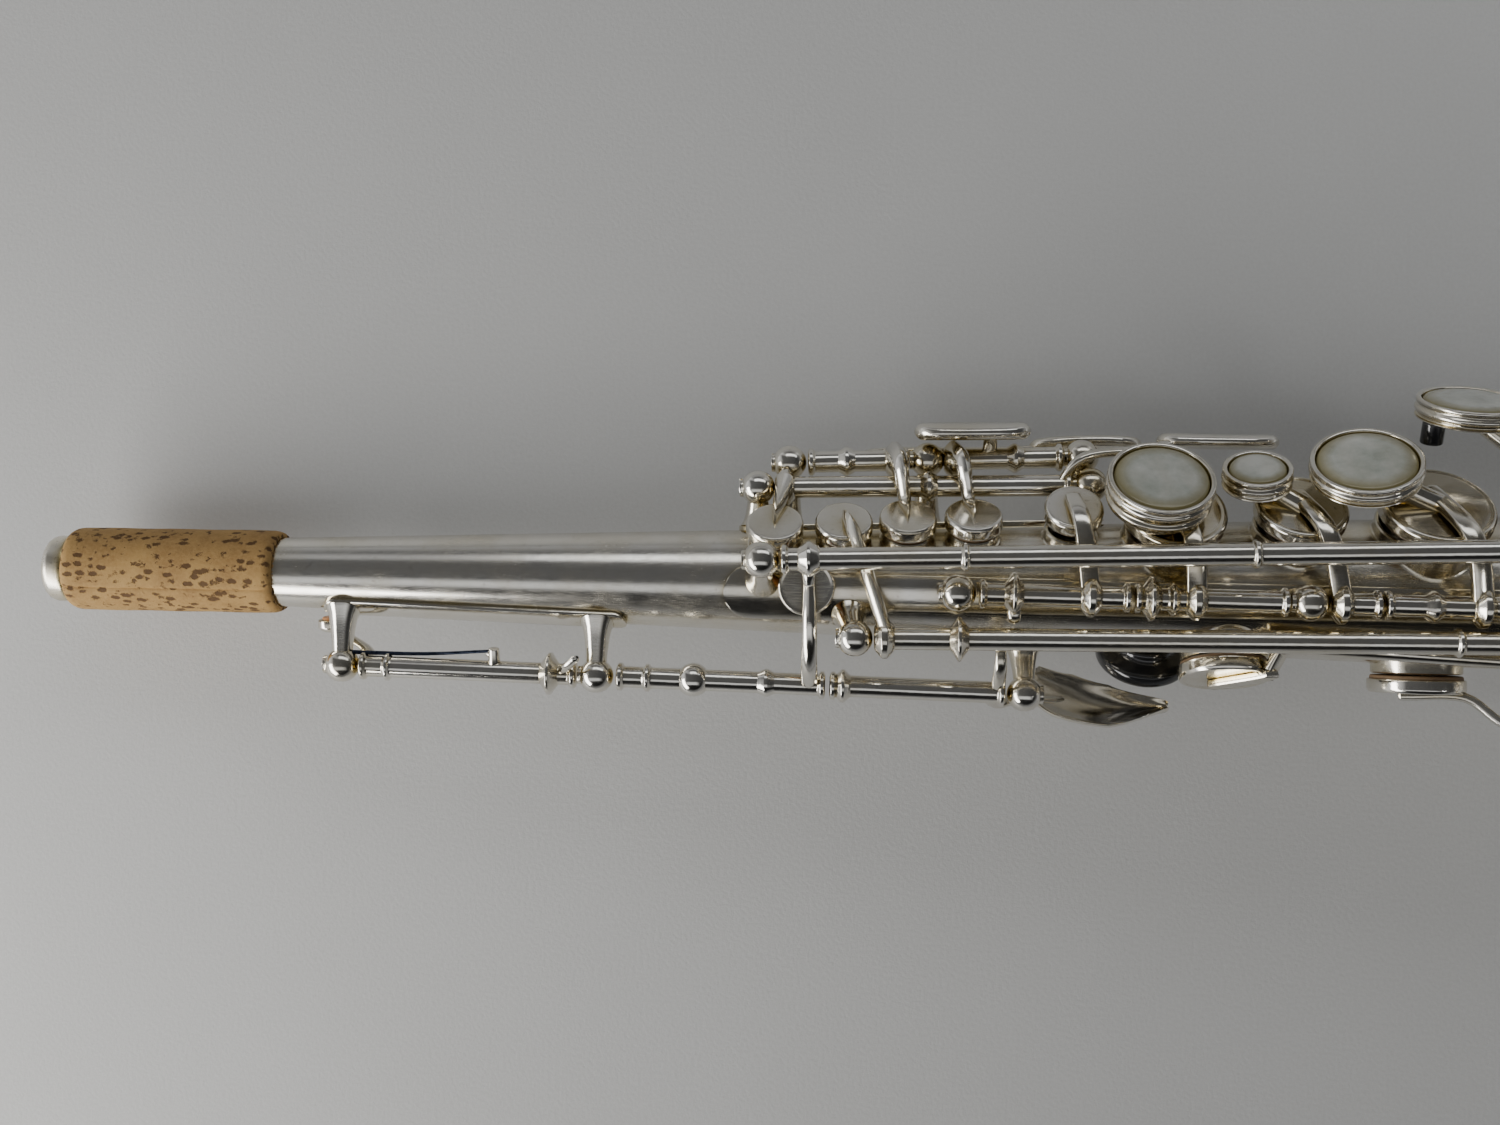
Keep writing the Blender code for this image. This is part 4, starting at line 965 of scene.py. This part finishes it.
def upper_stack():
    c = Key("stack_key_c", "middle", 179.0, 205.8).cup("stack_c", 198.8, 2.8, 2.0, "raised", opens=True)
    c.collar(185.2)
    c.bar(185.2, (at(185.2, -16, 18.4), at(185.2, -21, 16.6)), (2.6, 2.4, 2.2), 1.3, -12, -0.3)
    b = Key("stack_key_b", "middle", 206.4, 233.2).cup("stack_b", 217.2, 3.0, 2.4, opens=True)
    b.collar(209.4).collar(213.2, 1.0, 1.5)
    b.pearl_holder(210.8, 52, 22.2, 9.6, 53, deep=4.9)
    bis = Key("stack_key_bis", "middle", 240.8, 249.0).cup("stack_bis", 242.4, 3.0, 2.4, opens=True)
    bis.pearl_holder(229.2, 65, 20.6, 6.3, 62, lean=-0.10, deep=1.5)
    a = Key("stack_key_a", "middle", 249.6, 270.6).cup("stack_a", 266.4, 3.2, 2.6, opens=True)
    a.collar(258.0, 0.9)
    a.pearl_holder(247.6, 61, 23.6, 9.8, 57, lean=-0.14, deep=1.4)
    g = Key("stack_key_g", "middle", 271.2, 299.2).cup("stack_g", 291.6, 3.2, 2.6, opens=True)
    g.collar(276.0, 0.9)
    g.pearl_holder(267.6, 80, 31.4, 9.6, 75, deep=1.4)
    bumper = Shape().turned(at(260.6, 76, 26.6), outward(75), ((0, 1.8), (0.2, 2.0), (3.9, 2.0), (4.1, 1.8)))
    g.extra("_bumper", bumper, "black_plastic")
    return [c, b, bis, a, g]


def lower_stack():
    keys = [Key("stack_key_f_sharp", "lower", 325.6, 348.0).cup("f_sharp", 341.2, 3.4, 2.8, opens=True)]
    rows = (("f", 348.8, 380.4, 366.0), ("e", 387.6, 413.6, 399.4), ("d", 414.4, 442.4, 430.0))
    for letter, s0, s1, pearl_s in rows:
        key = Key("stack_key_" + letter, "lower", s0, s1)
        key.cup("stack_" + letter, pearl_s + 2.0, 3.4, 2.8, opens=True, pad_node=True)
        key.pearl_holder(pearl_s, FRONT - 6, body_radius(pearl_s) + 9.0, 9.2, FRONT - 5)
        keys.append(key)
    return keys


def little_finger_keys():
    gs = Key("g_sharp_key", "g_sharp", 303.6, 332.4).cup("g_sharp", 314.0, 3.2, 2.6)
    gs.touch((318.0, 120, 31.0), (0, 0), 112, 18.0, 12.0, 322.0, (321.5, 111, 26.6), (319.5, 117, 30.4))
    eb = Key("low_key_eb", "foot", 458.6, 474.6).cup("low_eb", 463.5, 3.4, 2.8, "large")
    eb.touch((444.0, 17, 35.0), (0, 0.02), 14, 18.0, 13.0, 460.6, (457.0, 6, 31.5), (448.0, 13, 34.4))
    c = Key("low_key_c", "foot", 475.2, 497.4).cup("low_c", 489.4, 3.4, 2.8, "large", True, True)
    c.touch((465.0, 17, 36.2), (0, 0.02), 14, 18.0, 13.0, 479.0, (477.5, 5, 32.6), (468.0, 13, 35.6))
    keys = [gs, eb, c]
    levers = (("cs", 533.0, 525.4, 398.0, 104, 104, ((399.5, 116, 31.0), (398.5, 108, 33.4)), False),
              ("b", 569.0, 557.4, 376.0, 119, 112, ((377.5, 114, 30.6), (376.5, 117, 33.4)), True),
              ("bb", 606.8, 590.4, 354.0, 110, 104, ((355.5, 103, 30.6), (354.5, 108, 33.4)), True))
    for letter, end, arm_s, s, phi, facing, arm, padded in levers:
        key = Key("low_key_" + letter, "low_" + letter, 350.8, end, LEVER_RADIUS)
        key.cup("low_" + letter, arm_s, 3.4, 2.8, "large", padded, padded)
        key.touch((s, phi, 34.0), (0, 0.03), facing, 19.0, 11.0, s + 2.0, *arm)
        keys.append(key)
    return keys


# ---- fittings
def build_fittings():
    rest = ((-0.3, 5.6), (1.4, 6.0), (2.4, 8.8), (3.0, 9.15), (4.8, 9.15), (5.8, 8.0), (6.2, 5.6), (6.3, 3.0))
    rest = Shape().turned(above(213.5, BACK, GAP + 0.1), outward(BACK), rest, 72, 0.7)
    fixed("thumb_rest", rest, "black_plastic")
    build_thumb_hook()
    build_strap_ring()
    build_guard()


def build_thumb_hook():
    s, phi, width = 374.0, -141.0, 13.0
    tip = at(s, phi, (floor_height(s) + 1.5) / math.cos(math.radians(phi)))
    curve = [above(s + 4.0, phi, 1.6), above(s + 5.2, phi, 7.0), above(s + 3.6, phi, 11.0), tip]
    hook = Shape().saddle(366.0, 388.0, phi, 6.0)
    hook.bar(curve, (9.0, width, width, width * 0.8), 2.2, AXIS, -1.1, power=4.0, sides=32)
    hook.rod(above(s + 4.0, phi, GAP), above(s + 4.0, phi, 4.0), 3.4, 2.6)
    half = Vector((0, width * 0.36, 0))
    hook.rod(tip - half, tip + half, 1.5)
    fixed("thumb_hook", hook)


def build_strap_ring():
    s, phi = 318.0, -150.0
    normal = outward(phi)
    centre = above(s, phi, 6.4)
    across = AXIS.cross(normal)
    spokes = circle(Vector((0, 0, 0)), AXIS, normal, 1.0, 48)
    rings = [circle(centre + spoke * 4.2, spoke, across, 1.1, 20) for spoke in spokes]
    strap = Shape().rings(rings, closed=True).saddle(311.0, 325.0, phi, 3.6)
    strap.rod(above(s, phi, GAP), above(s, phi, 2.6), 2.2, 1.5)
    fixed("strap_ring", strap)


def build_guard():
    guard = Shape().saddle(538.9, 542.5, 172, 3.2).saddle(613.0, 617.0, 172, 3.2)
    places = ((540.6, 168, 11.0), (557.0, 160, 13.5), (574.0, 158, 13.0), (590.0, 160, 12.5),
              (612.0, 168, 8.0))
    guard.bar([above(*place) for place in places], (3.0, 3.0), 1.4, outward(160), -0.7)
    guard.rod(above(540.7, 172, 0.9), above(540.7, 168, 11.2), 1.1, 1.0)
    guard.rod(above(614.8, 172, 1.0), above(611.8, 168, 8.2), 1.2, 1.0)
    fixed("bell_key_guard", guard)


def build_spring():
    """Blued needle spring from the first post to the upper octave key's hook."""
    hook = on_rod("octave", 88.6) + Vector((-0.6, 3.9, 1.2))
    spring = Shape().wire([at(61.0, -75, 15.6), at(75.0, -74, 15.7), hook], 0.42, 0.3)
    piece("spring_upper_octave", spring, ROOT, "silver_plate", look="blued")


# ---- stage
def add_floor():
    bpy.ops.mesh.primitive_plane_add(size=6.0, location=(0, 0, -0.0002))
    floor = bpy.context.object
    floor.name = "floor"
    floor.data.materials.append(floor_material())


# Area lights: name, place, target, width, height, watts, colour, spread in degrees
LIGHTS = (
    ("key", (-0.56, -0.21, 0.19), (-0.29, -0.06, 0.0), 0.50, 0.16, 2.3, (1.0, 0.985, 0.96), 180.0),
    ("fill", (-0.06, 0.36, 0.30), (-0.06, 0.05, 0.0), 0.6, 0.12, 0.34, (0.96, 0.98, 1.0), 180.0),
    ("bell_side", (0.56, -0.20, 0.50), (0.34, 0.0, 0.0), 0.25, 0.25, 0.6, (0.98, 0.99, 1.0), 50.0),
)
SKY_COLOUR = (0.97, 0.98, 1.0, 1)
ROOM_DARK, ROOM_LIGHT = 0.015, 0.088            # in front of the instrument and behind it
STRIP, WINDOW, BEAM, HORIZON = 0.72, 0.5, 0.30, 0.26


def area_light(name, place, target, width, height, power, colour, spread):
    data = bpy.data.lights.new(name, "AREA")
    data.shape = "RECTANGLE"
    data.size, data.size_y = width, height
    data.energy = power
    data.color = colour
    data.spread = math.radians(spread)
    light = bpy.data.objects.new(name, data)
    light.location = place
    light.rotation_euler = (Vector(target) - Vector(place)).to_track_quat("-Z", "Y").to_euler()
    light.visible_camera = False
    bpy.context.scene.collection.objects.link(light)


def between(tree, value, start, full, ease, end):
    """One between full and ease, falling to none at start and end."""
    return multiply(tree, ramp(tree, value, start, full, 0.0, 1.0), ramp(tree, value, ease, end, 1.0, 0.0))


def add_sky():
    """A room that is darker in front, a bright strip overhead, a window low on the left and a horizon."""
    world = bpy.data.worlds.new("studio")
    bpy.context.scene.world = world
    world.use_nodes = True
    tree = world.node_tree
    back = tree.nodes["Background"]
    place = node(tree, "TexCoord").outputs["Generated"]
    along, side, height = node(tree, "SeparateXYZ", [("Vector", place)]).outputs
    room = ramp(tree, side, -0.70, 0.05, ROOM_DARK, ROOM_LIGHT)
    room = multiply(tree, room, ramp(tree, along, -0.9, 0.8, 1.35, 0.65))
    strip = between(tree, side, -0.56, -0.48, -0.30, -0.17)
    strip = multiply(tree, strip, between(tree, along, -0.95, -0.6, 0.35, 0.7))
    strip = multiply(tree, strip, STRIP)
    window = multiply(tree, between(tree, along, -1.3, -0.92, -0.88, -0.72), WINDOW)
    beam = multiply(tree, between(tree, side, 0.62, 0.70, 0.78, 0.86), BEAM)
    total = add(tree, add(tree, room, strip), add(tree, window, beam))
    horizon = multiply(tree, ramp(tree, height, 0.04, 0.36, 1.0, 0.0), HORIZON)
    total = add(tree, total, horizon)
    back.inputs["Color"].default_value = SKY_COLOUR
    tree.links.new(total, back.inputs["Strength"])


CAMERA_AT = Vector((0.1368, 0.00339, 0.0))      # station and side of the view's centre, metres
CAMERA_HEIGHT = 0.3                             # over the axis where the cork ends


def add_camera():
    data = bpy.data.cameras.new("camera")
    data.lens = 36.96
    data.sensor_width = 36.0
    data.clip_start = 0.01
    camera = bpy.data.objects.new("camera", data)
    under = TO_WORLD @ (CAMERA_AT * 1000)
    axis_point = TO_WORLD @ Vector((CONE_START, 0, 0))
    camera.location = (under.x, under.y, axis_point.z + CAMERA_HEIGHT)
    camera.rotation_euler = (0, 0, 0.0169)
    bpy.context.scene.collection.objects.link(camera)
    bpy.context.scene.camera = camera


make_materials()
add_camera()
add_floor()
for light in LIGHTS:
    area_light(*light)
add_sky()
build_body()
build_ribs()
build_fittings()
build_spring()
for key in octave_keys() + palm_keys() + side_keys() + upper_stack() + lower_stack() + little_finger_keys():
    key.build()
